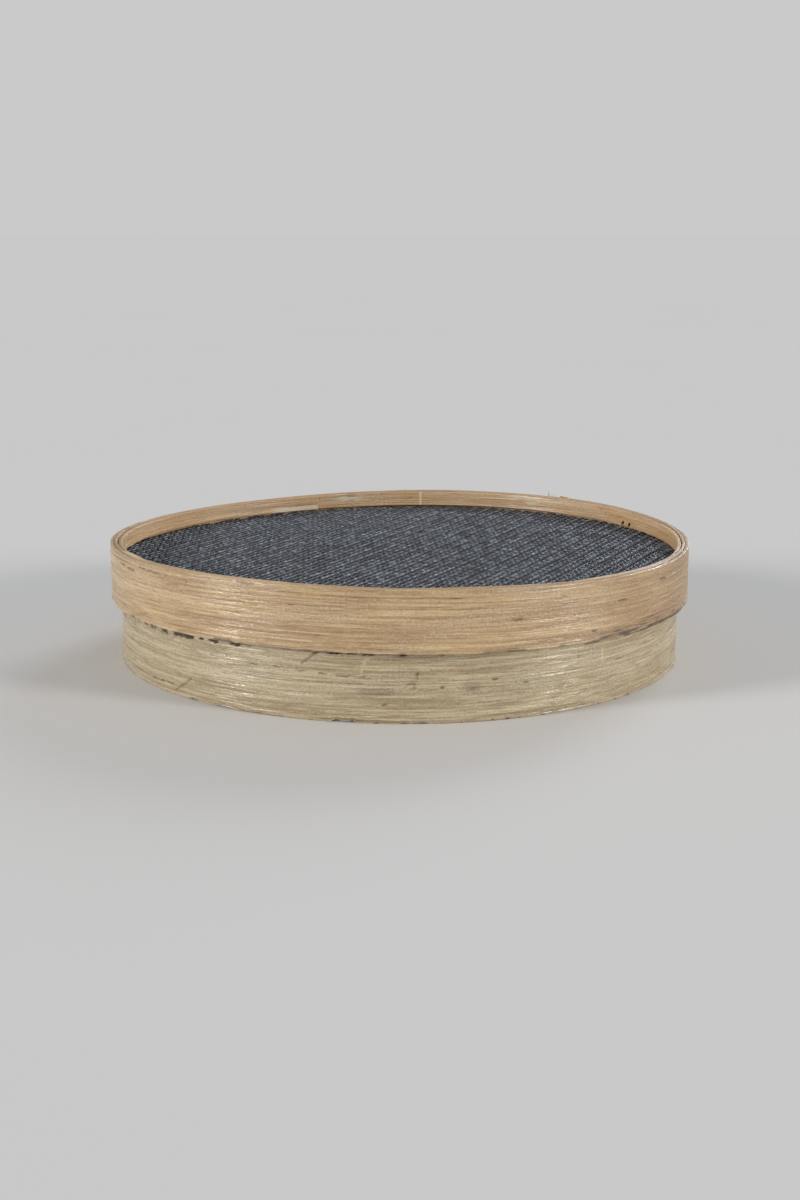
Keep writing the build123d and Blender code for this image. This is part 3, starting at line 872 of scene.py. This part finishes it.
def wire_tree():
    """Geometry Nodes: one set of parallel woven wires, cut to the drum and folded down at its edge."""
    tree = bpy.data.node_groups.new("Woven wires", "GeometryNodeTree")
    graph = Graph(tree)
    tree.interface.new_socket("Geometry", in_out="OUTPUT", socket_type="NodeSocketGeometry")
    names = {}
    for name, kind, default in (
            ("First", "NodeSocketFloat", 0.0), ("Count", "NodeSocketInt", 10),
            ("Pitch", "NodeSocketFloat", 1.7 * MM), ("Grouping", "NodeSocketFloat", 0.0),
            ("Crossing pitch", "NodeSocketFloat", 1.8 * MM), ("Crossing grouping", "NodeSocketFloat", 0.0),
            ("Side", "NodeSocketFloat", 1.0), ("Radius", "NodeSocketFloat", 0.2 * MM),
            ("Crimp", "NodeSocketFloat", 0.2 * MM), ("Wander", "NodeSocketFloat", 0.2 * MM),
            ("Reach", "NodeSocketFloat", 0.097), ("Skirt", "NodeSocketFloat", 0.011),
            ("Height", "NodeSocketFloat", 0.034), ("Turn", "NodeSocketFloat", 0.0),
            ("Sag", "NodeSocketFloat", 0.1 * MM), ("Dip", "NodeSocketFloat", 0.1 * MM),
            ("Group", "NodeSocketFloat", 5.0 * MM), ("Warp share", "NodeSocketFloat", 1.0),
            ("Step", "NodeSocketFloat", 0.6 * MM), ("Seed", "NodeSocketFloat", 1.0),
            ("Material", "NodeSocketMaterial", None)):
        names[name] = group_input(graph, kind, name, default)
    get = names.__getitem__

    points = graph.node("GeometryNodePoints", {}, {"Count": get("Count")})
    index = graph.node("GeometryNodeInputIndex", {}, {})
    number = index + get("First")
    points = graph.node("GeometryNodeStoreNamedAttribute", {"data_type": "FLOAT", "domain": "POINT"}, {
        "Geometry": points, "Name": "number", "Value": number})
    line = graph.node("GeometryNodeCurvePrimitiveLine", {}, {"Start": (-1, 0, 0), "End": (1, 0, 0)})
    wires = graph.node("GeometryNodeInstanceOnPoints", {}, {"Points": points, "Instance": line})
    wires = graph.node("GeometryNodeRealizeInstances", {}, {"Geometry": wires})

    def named(name):
        return graph.node("GeometryNodeInputNamedAttribute", {"data_type": "FLOAT"}, {"Name": name},
                          "Attribute")

    def position():
        place = graph.node("GeometryNodeInputPosition", {}, {})
        return [graph.node("ShaderNodeSeparateXYZ", {}, {"Vector": place}, axis) for axis in "XYZ"]

    def moved(geometry, x, y, z):
        vector = graph.node("ShaderNodeCombineXYZ", {}, {"X": x, "Y": y, "Z": z})
        return graph.node("GeometryNodeSetPosition", {}, {"Geometry": geometry, "Position": vector})

    wire = named("number")
    group = (wire * (2 * math.pi / 3)).math("SINE") * get("Grouping")
    offset = (wire - group) * get("Pitch")
    reach = get("Reach")
    inside = (reach * reach - offset * offset).math("MAXIMUM", 0.0)
    half = inside.math("SQRT")
    x = position()[0]
    wires = moved(wires, x * (half + get("Skirt")), offset, 0.0)
    wires = graph.node("GeometryNodeResampleCurve", {"mode": "LENGTH"}, {
        "Curve": wires, "Length": get("Step")})

    along, aside, _ = position()
    chord = (reach * reach - aside * aside).math("MAXIMUM", 0.0).math("SQRT")
    past = along.math("ABSOLUTE") - chord
    fold = past.math("SMOOTH_MAX", 0.0, 0.9 * MM)
    sign = along.math("SIGN")
    flat = past.step(1.0 * MM, -0.6 * MM)
    across = along / get("Crossing pitch")
    across = across + (across * (2 * math.pi / 3)).math("SINE") * get("Crossing grouping")
    wave = ((across + wire) * math.pi).math("COSINE") * get("Crimp") * get("Side") * flat
    drift_place = graph.node("ShaderNodeCombineXYZ", {}, {
        "X": along * 18.0, "Y": wire * 0.31, "Z": get("Seed")})
    drift = graph.node("ShaderNodeTexNoise", {}, {"Vector": drift_place, "Scale": 1.0, "Detail": 1.0})
    sag_place = graph.node("ShaderNodeCombineXYZ", {}, {
        "X": along * 26.0, "Y": wire * 0.05, "Z": get("Seed") + 9.0})
    sag = graph.node("ShaderNodeTexNoise", {}, {"Vector": sag_place, "Scale": 1.0, "Detail": 0.0})
    stray = (drift - 0.5) * 2.0 * get("Wander")
    bent_x = sign * (along.math("ABSOLUTE") - fold)
    bent_y = aside + stray * flat
    over_warps = (aside * get("Warp share") + along * (1.0 - get("Warp share"))) / get("Group")
    sunk = (1.0 - (over_warps * (2 * math.pi)).math("COSINE")) * get("Dip") * flat
    bent_z = get("Height") + wave - fold - sunk + (sag - 0.5) * get("Sag") * flat
    cosine, sine = get("Turn").math("COSINE"), get("Turn").math("SINE")
    wires = moved(wires, bent_x * cosine - bent_y * sine, bent_x * sine + bent_y * cosine, bent_z)

    ring = graph.node("GeometryNodeCurvePrimitiveCircle", {"mode": "RADIUS"}, {
        "Resolution": 5, "Radius": get("Radius")})
    tubes = graph.node("GeometryNodeCurveToMesh", {}, {
        "Curve": wires, "Profile Curve": ring, "Fill Caps": True})
    tubes = graph.node("GeometryNodeSetShadeSmooth", {}, {0: tubes})
    tubes = graph.node("GeometryNodeRealizeInstances", {}, {"Geometry": tubes})
    tubes = graph.node("GeometryNodeSetMaterial", {}, {"Geometry": tubes, "Material": get("Material")})
    graph.node("NodeGroupOutput", {}, {0: tubes}, None)
    return tree


def run_tree(name, tree, values, source=None):
    """Runs a geometry tree once and keeps its result as a plain mesh."""
    piece = bpy.data.objects.new(name, source or bpy.data.meshes.new(name))
    bpy.context.scene.collection.objects.link(piece)
    modifier = piece.modifiers.new(name, "NODES")
    modifier.node_group = tree
    for item in tree.interface.items_tree:
        if item.in_out == "INPUT" and item.name in values:
            modifier[item.identifier] = values[item.name]
    bpy.context.view_layer.update()
    return evaluated_mesh(piece, name)


def read_points(mesh):
    points = np.zeros(len(mesh.vertices) * 3)
    mesh.vertices.foreach_get("co", points)
    return points.reshape(-1, 3)


def settle_mesh(mesh, shape):
    """Gives a finished mesh the sieve's own slightly bent shape."""
    mesh.vertices.foreach_set("co", settle(read_points(mesh), shape).ravel())
    mesh.update()


# Each dent of the cloth: its place across and back, its radius and its depth, in millimetres.
DENTS = ((6.0, 36.0, 1.7, 0.50), (10.5, 38.5, 2.0, -0.40), (16.0, 34.5, 1.6, 0.55), (21.5, 36.0, 2.2, -0.35),
         (25.0, 24.0, 2.6, 0.35), (-4.0, 30.0, 2.8, -0.22), (12.0, 22.0, 2.4, 0.28), (-30.0, 14.0, 3.5, -0.2))


def dent_mesh(mesh):
    """Presses small dents into the cloth and pushes its wires aside round them."""
    points = read_points(mesh)
    for x, y, radius, depth in np.array(DENTS) * MM:
        away = points[:, :2] - (x, y)
        share = np.exp(-(away ** 2).sum(axis=1) / (2 * radius ** 2))
        points[:, 2] -= depth * share
        points[:, :2] += away * (0.22 * share)[:, None]
    mesh.vertices.foreach_set("co", points.ravel())


def make_cloth(shape, cloth, material):
    """Warp and weft, each in a few pieces so that none is too heavy."""
    tree = wire_tree()
    reach = SKIRT_RADIUS - WIRE_INSET
    middle = CLOTH_HEIGHT - CLOTH_THICKNESS / 2
    pieces = []
    sets = (("warp", cloth.warp_pitch, cloth.grouping, cloth.weft_pitch, 0.0, 1.0, cloth.turn, 3.0),
            ("weft", cloth.weft_pitch, 0.0, cloth.warp_pitch, cloth.grouping, -1.0,
             cloth.turn - math.pi / 2, 8.0))
    for name, pitch, grouping, crossing, crossing_grouping, side, turn, seed in sets:
        last = int((reach - 0.7 * pitch) / pitch)
        edges = np.linspace(-last, last + 1, cloth.shares + 1).astype(int)
        for share, (first, end) in enumerate(zip(edges[:-1], edges[1:])):
            piece = run_tree(f"cloth_{name}_{share + 1}", tree, {
                "First": float(first), "Count": int(end - first), "Pitch": pitch,
                "Grouping": grouping, "Crossing pitch": crossing,
                "Crossing grouping": crossing_grouping, "Side": side,
                "Radius": cloth.wire_radius, "Crimp": cloth.crimp, "Wander": cloth.wander,
                "Reach": reach, "Skirt": CLOTH_HEIGHT - CLOTH_FOOT - 1.0 * MM,
                "Height": middle, "Turn": turn, "Sag": 0.09 * MM, "Dip": cloth.dip,
                "Group": 3 * cloth.warp_pitch, "Warp share": float(name == "warp"),
                "Step": 0.6 * MM, "Seed": seed,
                "Material": material})
            dent_mesh(piece.data)
            settle_mesh(piece.data, shape)
            pieces.append(piece)
    return pieces


def pin_tree():
    """Geometry Nodes: a round pin at every point, its axis pointing out from the drum."""
    tree = bpy.data.node_groups.new("Pins", "GeometryNodeTree")
    graph = Graph(tree)
    tree.interface.new_socket("Geometry", in_out="OUTPUT", socket_type="NodeSocketGeometry")
    places = group_input(graph, "NodeSocketGeometry", "Geometry", None)
    radius = group_input(graph, "NodeSocketFloat", "Radius", 1.0 * MM)
    length = group_input(graph, "NodeSocketFloat", "Length", 2.0 * MM)
    crown = group_input(graph, "NodeSocketFloat", "Crown", 0.1 * MM)
    material = group_input(graph, "NodeSocketMaterial", "Material", None)
    pin = graph.node("GeometryNodeMeshCylinder", {"fill_type": "NGON"}, {
        "Vertices": 24, "Side Segments": 3, "Fill Segments": 4, "Radius": radius, "Depth": length})
    place = graph.node("GeometryNodeInputPosition", {}, {})
    x, y, z = [graph.node("ShaderNodeSeparateXYZ", {}, {"Vector": place}, axis) for axis in "XYZ"]
    off_axis = (x * x + y * y) / (radius * radius)
    rise = (1.0 - off_axis) * crown * z.math("SIGN")
    noise = graph.node("ShaderNodeTexNoise", {}, {"Vector": place, "Scale": 1400.0, "Detail": 1.0})
    rim = 1.0 + (noise - 0.5) * 0.16
    shaped = graph.node("ShaderNodeCombineXYZ", {}, {"X": x * rim, "Y": y * rim, "Z": z + rise})
    pin = graph.node("GeometryNodeSetPosition", {}, {"Geometry": pin, "Position": shaped})
    spot = graph.node("GeometryNodeInputPosition", {}, {})
    sx, sy = [graph.node("ShaderNodeSeparateXYZ", {}, {"Vector": spot}, axis) for axis in "XY"]
    outwards = graph.node("ShaderNodeCombineXYZ", {}, {"X": sx, "Y": sy, "Z": 0.0})
    turn = graph.node("FunctionNodeAlignRotationToVector", {"axis": "Z"}, {"Vector": outwards})
    spots = graph.node("GeometryNodeMeshToPoints", {}, {"Mesh": places})
    pins = graph.node("GeometryNodeInstanceOnPoints", {}, {
        "Points": spots, "Instance": pin, "Rotation": turn})
    pins = graph.node("GeometryNodeRealizeInstances", {}, {"Geometry": pins})
    pins = graph.node("GeometryNodeSetMaterial", {}, {"Geometry": pins, "Material": material})
    graph.node("NodeGroupOutput", {}, {0: pins}, None)
    return tree


def solid_centres(node):
    """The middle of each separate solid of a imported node."""
    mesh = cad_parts[node].data.copy()
    shape = bmesh.new()
    shape.from_mesh(mesh)
    bmesh.ops.remove_doubles(shape, verts=shape.verts, dist=0.01 * MM)
    seen, centres = set(), []
    for vert in shape.verts:
        if vert.index in seen:
            continue
        stack, found = [vert], []
        seen.add(vert.index)
        while stack:
            here = stack.pop()
            found.append(here.co.copy())
            for edge in here.link_edges:
                other = edge.other_vert(here)
                if other.index not in seen:
                    seen.add(other.index)
                    stack.append(other)
        low = Vector([min(p[i] for p in found) for i in range(3)])
        high = Vector([max(p[i] for p in found) for i in range(3)])
        centres.append((low + high) / 2)
    shape.free()
    bpy.data.meshes.remove(mesh)
    return centres


def make_pins(name, node, radius, inner, outer, crown, tree, shape, material):
    """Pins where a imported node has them, from one radius to another."""
    places = []
    for centre in solid_centres(node):
        flat = Vector((centre.x, centre.y, 0)).normalized() * (inner + outer) / 2
        places.append((flat.x, flat.y, centre.z))
    source = bpy.data.meshes.new(name + "_places")
    source.from_pydata(places, [], [])
    piece = run_tree(name, tree, {"Radius": radius, "Length": outer - inner, "Crown": crown,
                                  "Material": material}, source)
    settle_mesh(piece.data, shape)
    return piece


def tubes(name, lines, radii, shape, material, sides=5):
    """Thin tapering threads along lists of points, closed at both ends."""
    points, faces = [], []
    for line, radius in zip(lines, radii):
        line = np.asarray(line)
        count = len(line)
        tangent = np.gradient(line, axis=0)
        tangent /= np.linalg.norm(tangent, axis=1)[:, None] + 1e-12
        helper = np.array([0.31, 0.17, 0.93])
        side = np.cross(tangent, helper)
        side /= np.linalg.norm(side, axis=1)[:, None] + 1e-12
        up = np.cross(side, tangent)
        taper = radius * (1 - 0.75 * np.linspace(0, 1, count) ** 2)
        base = len(points)
        for k in range(count):
            for s in range(sides):
                a = 2 * math.pi * s / sides
                points.append(line[k] + taper[k] * (side[k] * math.cos(a) + up[k] * math.sin(a)))
        for k in range(count - 1):
            for s in range(sides):
                a, b = base + k * sides + s, base + k * sides + (s + 1) % sides
                faces.append([a, b, b + sides, a + sides])
        faces.append([base + s for s in range(sides)][::-1])
        faces.append([base + (count - 1) * sides + s for s in range(sides)])
    return mesh_object(name, settle(np.array(points), shape), faces, material)


def cylinder_point(radius, degrees, height):
    angle = math.radians(degrees)
    return np.array([radius * math.cos(angle), radius * math.sin(angle), height])


def curl(rng, radius, degrees, height, length, out, drop, bend, count=9):
    """A thread that lies along the drum, lifts off it and bends over."""
    way = rng.choice([-1, 1])
    line = []
    for t in np.linspace(0, 1, count):
        go = degrees + way * math.degrees(length * t / radius)
        line.append(cylinder_point(radius + out * math.sin(t * math.pi * bend) + 0.05 * MM, go,
                                   height - drop * t + 0.25 * drop * math.sin(t * 5 + bend)))
    return line


def make_brad_tips(shape, radius, material):
    """The two neighbouring brads come through the keeper and are bent down against it."""
    centres = solid_centres("keeper_brads")
    angles = sorted((math.degrees(math.atan2(c.y, c.x)), c.z) for c in centres)
    lines = []
    for angle, height in angles[:2]:
        lines.append([cylinder_point(radius + 0.7 * MM, angle, height),
                      cylinder_point(radius - 0.15 * MM, angle, height - 0.02 * MM),
                      cylinder_point(radius - 0.50 * MM, angle + 0.03, height - 0.30 * MM),
                      cylinder_point(radius - 0.55 * MM, angle + 0.1, height - 0.75 * MM),
                      cylinder_point(radius - 0.42 * MM, angle + 0.16, height - 1.15 * MM)])
    return tubes("brad_tips", lines, [0.42 * MM] * 2, shape, material, sides=10)


def make_drum_fibres(shape, material):
    """Curled fibres below the band at the front left, and hairs on the lower edge."""
    rng = np.random.default_rng(77)
    lines, radii = [], []
    for _ in range(70):
        angle = rng.normal(205, 11)
        lines.append(curl(rng, DRUM_RADIUS, angle, SEAM + rng.uniform(-3.2, 0.4) * MM,
                          rng.uniform(2, 6) * MM, rng.uniform(0.2, 1.3) * MM,
                          rng.uniform(-1.0, 2.6) * MM, rng.uniform(0.6, 1.3)))
        radii.append(rng.uniform(0.04, 0.10) * MM)
    for _ in range(46):
        angle = rng.uniform(170, 350)
        lines.append(curl(rng, DRUM_RADIUS, angle, rng.uniform(2, 20) * MM,
                          rng.uniform(4, 14) * MM, rng.uniform(0.05, 0.35) * MM,
                          rng.uniform(-1.5, 1.5) * MM, rng.uniform(0.5, 1.0)))
        radii.append(rng.uniform(0.035, 0.07) * MM)
    for angle in (308.0, 309.0, 337.0, 341.0, 196.0, 247.0, 281.0):
        low = cylinder_point(DRUM_RADIUS - 0.3 * MM, angle, 0.9 * MM)
        out = cylinder_point(DRUM_RADIUS + 1.3 * MM, angle + rng.uniform(-0.8, 0.8), 0.25 * MM)
        lines.append([low, (low + out) / 2 + np.array([0, 0, 0.15 * MM]), out])
        radii.append(0.09 * MM)
    return tubes("drum_fibres", lines, radii, shape, material)


def make_band_splinters(shape, material):
    """A splinter that stands up from the rim at the back, and loose fibres on the band."""
    rng = np.random.default_rng(91)
    lines, radii = [], []
    for angle, height, lean in ((54.0, 2.3, 0.3), (54.4, 1.2, -0.5), (52.9, 0.7, 1.2), (52.0, 0.6, 1.6),
                                (51.2, 0.6, 1.5), (42.6, 0.9, 0.4), (88.0, 0.35, 1.4)):
        foot = cylinder_point(BAND_RADIUS - 0.8 * MM, angle, RIM_HEIGHT - 1.2 * MM)
        tip = cylinder_point(BAND_RADIUS - 0.7 * MM, angle + lean, RIM_HEIGHT + height * MM)
        lines.append([foot, (foot + tip) / 2 + np.array([0.1 * MM, 0, 0]), tip])
        radii.append(0.20 * MM)
    for _ in range(60):
        angle = rng.uniform(170, 370)
        lines.append(curl(rng, BAND_RADIUS, angle, rng.uniform(SEAM / MM + 0.5, 37) * MM,
                          rng.uniform(3, 12) * MM, rng.uniform(0.04, 0.25) * MM,
                          rng.uniform(-0.8, 0.8) * MM, rng.uniform(0.5, 1.0)))
        radii.append(rng.uniform(0.035, 0.06) * MM)
    return tubes("band_splinters", lines, radii, shape, material)


def make_skirt_wires(shape, cloth, material):
    """The wires that run round the drum in the folded-down edge of the cloth."""
    around, sides = 480, 5
    turn = np.linspace(0, 2 * math.pi, around, endpoint=False)
    low, high = CLOTH_FOOT + 0.7 * MM, CLOTH_HEIGHT - 1.4 * MM
    heights = np.arange(low, high, cloth.weft_pitch)
    points, faces = [], []
    for number, height in enumerate(heights):
        base = len(points)
        radius = SKIRT_RADIUS - WIRE_INSET + 0.02 * MM * np.cos(120 * turn + number * math.pi)
        lift = height + 0.10 * MM * np.sin(5 * turn + number) + 0.05 * MM * np.cos(120 * turn)
        for side in range(sides):
            a = 2 * math.pi * side / sides
            r = radius + cloth.wire_radius * 0.9 * math.cos(a)
            z = lift + cloth.wire_radius * 0.9 * math.sin(a)
            points.extend(np.column_stack([r * np.cos(turn), r * np.sin(turn), z]))
        for side in range(sides):
            beside = (side + 1) % sides
            for k in range(around):
                after = (k + 1) % around
                faces.append([base + side * around + k, base + side * around + after,
                              base + beside * around + after, base + beside * around + k])
    return mesh_object("cloth_skirt", settle(np.array(points), shape), faces, material)


def make_cloth_ends(shape, cloth, material):
    """Cut ends of the cloth's wires that show below the band."""
    rng = np.random.default_rng(55)
    lines, radii = [], []
    spots = [(196, 2), (200, 4), (203.5, 3), (207, 5), (210.5, 6), (215, 4), (218, 3), (223.5, 4),
             (226, 2), (257.5, 3), (260, 6), (263, 4), (268, 2), (274, 2), (283, 3), (295, 2), (318, 4)]
    for angle, wires in spots:
        for number in range(wires):
            here = angle + (number - wires / 2) * 0.42 + rng.uniform(-0.08, 0.08)
            reach = rng.uniform(0.35, 1.25) * MM
            top = cylinder_point(SKIRT_RADIUS - WIRE_INSET, here, CLOTH_FOOT + 1.0 * MM)
            low = cylinder_point(SKIRT_RADIUS - 0.30 * MM, here + rng.uniform(-0.25, 0.25), SEAM - reach)
            lines.append([top, (top + low) / 2, low])
            radii.append(cloth.wire_radius * 0.9)
    return tubes("cloth_ends", lines, radii, shape, material)


# ---- operators ------------------------------------------------------------------------------------

def bamboo_material(name, light, dark, gloss):
    """One of the sieve's bamboo finishes, made once and shared."""
    made = bpy.data.materials.get(name)
    if made:
        return made
    colours = bpy.context.scene.sieve_colours
    light, dark = tuple(light), tuple(dark)
    grey = tuple(0.5 * c + 0.5 * g for c, g in zip(light, (0.52, 0.45, 0.34)))
    return bamboo(name, light, dark, tuple(colours.crack_and_shadow), tuple(colours.bleached), grey, gloss)


class SIEVE_OT_drum(bpy.types.Operator):
    """Build the drum's bent hoop"""
    bl_idname = "sieve.drum"
    bl_label = "Drum hoop"

    def execute(self, context):
        colours = context.scene.sieve_colours
        finish = bamboo_material("Drum bamboo", colours.drum_light, colours.drum_dark, 0.30)
        attach(make_drum(context.scene.sieve_shape, finish), "drum", "body_bamboo", "body_hoop")
        return {"FINISHED"}


class SIEVE_OT_band(bpy.types.Operator):
    """Build the outer strip, the clamp strip and the keeper"""
    bl_idname = "sieve.band"
    bl_label = "Band strips"

    def execute(self, context):
        colours, shape = context.scene.sieve_colours, context.scene.sieve_shape
        skin = bamboo_material("Band bamboo", colours.band_light, colours.band_dark, 0.28)
        pith = bamboo_material("Strip bamboo", colours.pith_light, colours.pith_dark, 0.44)
        attach(make_outer(shape, skin), "band", "band_bamboo", "outer_hoop")
        attach(make_clamp(shape, pith), "band", "strip_bamboo", "clamp_hoop")
        attach(make_keeper(shape, pith), "band", "strip_bamboo", "keeper_ring")
        return {"FINISHED"}


class SIEVE_OT_cloth(bpy.types.Operator):
    """Weave the wire cloth, its folded edge and its cut ends"""
    bl_idname = "sieve.cloth"
    bl_label = "Wire cloth"

    def execute(self, context):
        shape, cloth = context.scene.sieve_shape, context.scene.sieve_cloth
        finish = dark_wire("Dark wire", tuple(context.scene.sieve_colours.wire), cloth.turn,
                           3 * cloth.warp_pitch)
        for piece in make_cloth(shape, cloth, finish):
            attach(piece, "cloth", "dark_wire", "wire_cloth")
        attach(make_skirt_wires(shape, cloth, finish), "cloth", "dark_wire")
        attach(make_cloth_ends(shape, cloth, finish), "cloth", "dark_wire")
        return {"FINISHED"}


class SIEVE_OT_pins(bpy.types.Operator):
    """Put in the bamboo pegs and the iron brads"""
    bl_idname = "sieve.pins"
    bl_label = "Pegs and brads"

    def execute(self, context):
        shape, colours = context.scene.sieve_shape, context.scene.sieve_colours
        tree = pin_tree()
        ends = cut_end("Peg end", tuple(colours.pith_light), tuple(colours.pith_dark))
        iron = black_iron("Black iron", tuple(colours.iron))
        drum_inner = DRUM_RADIUS - shape.drum_wall
        clamp_inner = CLAMP_RADIUS - shape.clamp_wall
        keeper_inner = KEEPER_RADIUS - shape.keeper_wall
        attach(make_pins("drum_pegs", "body_lap_pegs", PEG_RADIUS, drum_inner - 0.05 * MM,
                         DRUM_RADIUS + 0.10 * MM, 0.12 * MM, tree, shape, ends),
               "drum", "peg_bamboo", "body_lap_pegs")
        attach(make_pins("band_pegs", "outer_lap_pegs", PEG_RADIUS, clamp_inner + 0.02 * MM,
                         BAND_RADIUS + 0.10 * MM, 0.12 * MM, tree, shape, ends),
               "band", "peg_bamboo", "outer_lap_pegs")
        attach(make_pins("brads", "keeper_brads", BRAD_RADIUS, keeper_inner + 0.25 * MM,
                         BAND_RADIUS - 0.1 * MM, 0.05 * MM, tree, shape, iron),
               "band", "brad_iron", "keeper_brads")
        attach(make_brad_tips(shape, keeper_inner, iron), "band", "brad_iron")
        attach(make_pins("brad_heads", "keeper_brads", BRAD_HEAD_RADIUS, BAND_RADIUS - 0.4 * MM,
                         BAND_RADIUS + 0.05 * MM, 0.12 * MM, tree, shape, iron),
               "band", "brad_iron", "keeper_brads")
        return {"FINISHED"}


class SIEVE_OT_fibres(bpy.types.Operator):
    """Add the loose fibres and the splinters"""
    bl_idname = "sieve.fibres"
    bl_label = "Loose fibres"

    def execute(self, context):
        shape, colours = context.scene.sieve_shape, context.scene.sieve_colours
        finish = loose_fibre("Loose fibre", tuple(colours.bleached), tuple(colours.drum_light))
        attach(make_drum_fibres(shape, finish), "drum", "body_bamboo")
        attach(make_band_splinters(shape, finish), "band", "band_bamboo")
        return {"FINISHED"}


class SIEVE_OT_studio(bpy.types.Operator):
    """Lay the floor, hang the lights and place the camera"""
    bl_idname = "sieve.studio"
    bl_label = "Studio"

    def execute(self, context):
        studio = context.scene.sieve_studio
        floor_finish = plain_floor("Plain floor", tuple(studio.floor))
        corners = np.array([(x * FLOOR_HALF, y * FLOOR_HALF, -FLOOR_DROP)
                            for x, y in ((-1, -1), (1, -1), (1, 1), (-1, 1))])
        mesh_object("floor", corners, [[0, 1, 2, 3]], floor_finish, smooth=False)
        side, back = studio.side_strength, studio.back_strength
        lights = (("Left light", -studio.side_angle, math.radians(17), 15, side, (1.0, 0.97, 0.93)),
                  ("Right light", studio.side_angle, math.radians(16), 13, side * 0.9, (1.0, 0.96, 0.91)),
                  ("Back light", math.radians(152), math.radians(24), 24, back, (0.86, 0.92, 1.0)))
        ambient = [studio.ambient * tint for tint in (0.95, 0.97, 1.0)]
        horizon = list(ambient)
        for name, around, height, width, strength, colour in lights:
            add_light(name, around, height, width, strength, colour)
            for channel in range(3):
                horizon[channel] += colour[channel] * strength * math.sin(height) / math.pi
        horizon = [tone * light for tone, light in zip(studio.floor, horizon)]
        context.scene.world = pale_room("Pale room", ambient, horizon)
        add_camera(studio)
        context.scene.view_settings.view_transform = "Standard"
        return {"FINISHED"}


def pale_room(name, ambient, horizon):
    """Even light from all round, and a horizon that the floor runs into."""
    world = bpy.data.worlds.new(name)
    world.use_nodes = True
    graph = Graph(world.node_tree)
    seen = graph.node("ShaderNodeLightPath", {}, {}, "Is Camera Ray")
    colour = graph.node("ShaderNodeMix", {"data_type": "RGBA"}, {
        "Factor": seen, "A": (*ambient, 1.0), "B": (*horizon, 1.0)}, "Result")
    feed(graph.tree, graph.tree.nodes["Background"].inputs["Color"], colour)
    return world


def add_light(name, around, height, width, strength, colour):
    """A wide soft light far away: its turn from the camera's side, height, width in degrees."""
    lamp = bpy.data.lights.new(name, "SUN")
    lamp.angle = math.radians(width)
    lamp.energy = strength
    lamp.color = colour
    holder = bpy.data.objects.new(name, lamp)
    place = Vector((math.sin(around) * math.cos(height), -math.cos(around) * math.cos(height),
                    math.sin(height)))
    holder.location = place * 2.0
    holder.rotation_euler = (-place).to_track_quat("-Z", "Y").to_euler()
    bpy.context.scene.collection.objects.link(holder)


def add_camera(studio):
    """A 50 mm camera in front of the sieve, a little above it."""
    lens = bpy.data.cameras.new("Camera")
    lens.lens = 50.0
    lens.sensor_width = 36.0
    lens.sensor_fit = "AUTO"
    lens.shift_x = -0.0009
    lens.shift_y = -0.0083
    lens.clip_start = 0.01
    lens.clip_end = 100.0
    camera = bpy.data.objects.new("Camera", lens)
    away = Vector((0, -math.cos(studio.elevation), math.sin(studio.elevation))) * studio.distance
    camera.location = Vector((0, 0, studio.aim_height)) + away
    camera.rotation_euler = (-away).to_track_quat("-Z", "Y").to_euler()
    bpy.context.scene.collection.objects.link(camera)
    bpy.context.scene.camera = camera


STEPS = (SIEVE_OT_studio, SIEVE_OT_drum, SIEVE_OT_band, SIEVE_OT_cloth, SIEVE_OT_pins, SIEVE_OT_fibres)


class SIEVE_PT_panel(bpy.types.Panel):
    """Lists the pieces of the sieve"""
    bl_idname = "SIEVE_PT_panel"
    bl_label = "Drum sieve"
    bl_space_type = "VIEW_3D"
    bl_region_type = "UI"
    bl_category = "Sieve"

    def draw(self, context):
        for step in STEPS:
            self.layout.operator(step.bl_idname)


SETTINGS = {"sieve_shape": SieveShape, "sieve_cloth": ClothSettings,
            "sieve_colours": Colours, "sieve_studio": StudioSettings}


def register():
    for group in SETTINGS.values():
        bpy.utils.register_class(group)
    for step in STEPS:
        bpy.utils.register_class(step)
    bpy.utils.register_class(SIEVE_PT_panel)
    for name, group in SETTINGS.items():
        setattr(bpy.types.Scene, name, PointerProperty(type=group))


def unregister():
    for name in SETTINGS:
        delattr(bpy.types.Scene, name)
    bpy.utils.unregister_class(SIEVE_PT_panel)
    for step in reversed(STEPS):
        bpy.utils.unregister_class(step)
    for group in reversed(SETTINGS.values()):
        bpy.utils.unregister_class(group)


def main():
    """Registers the add-on and builds every piece."""
    register()
    for step in STEPS:
        area, name = step.bl_idname.split(".")
        getattr(getattr(bpy.ops, area), name)()


if __name__ == "__main__":
    main()
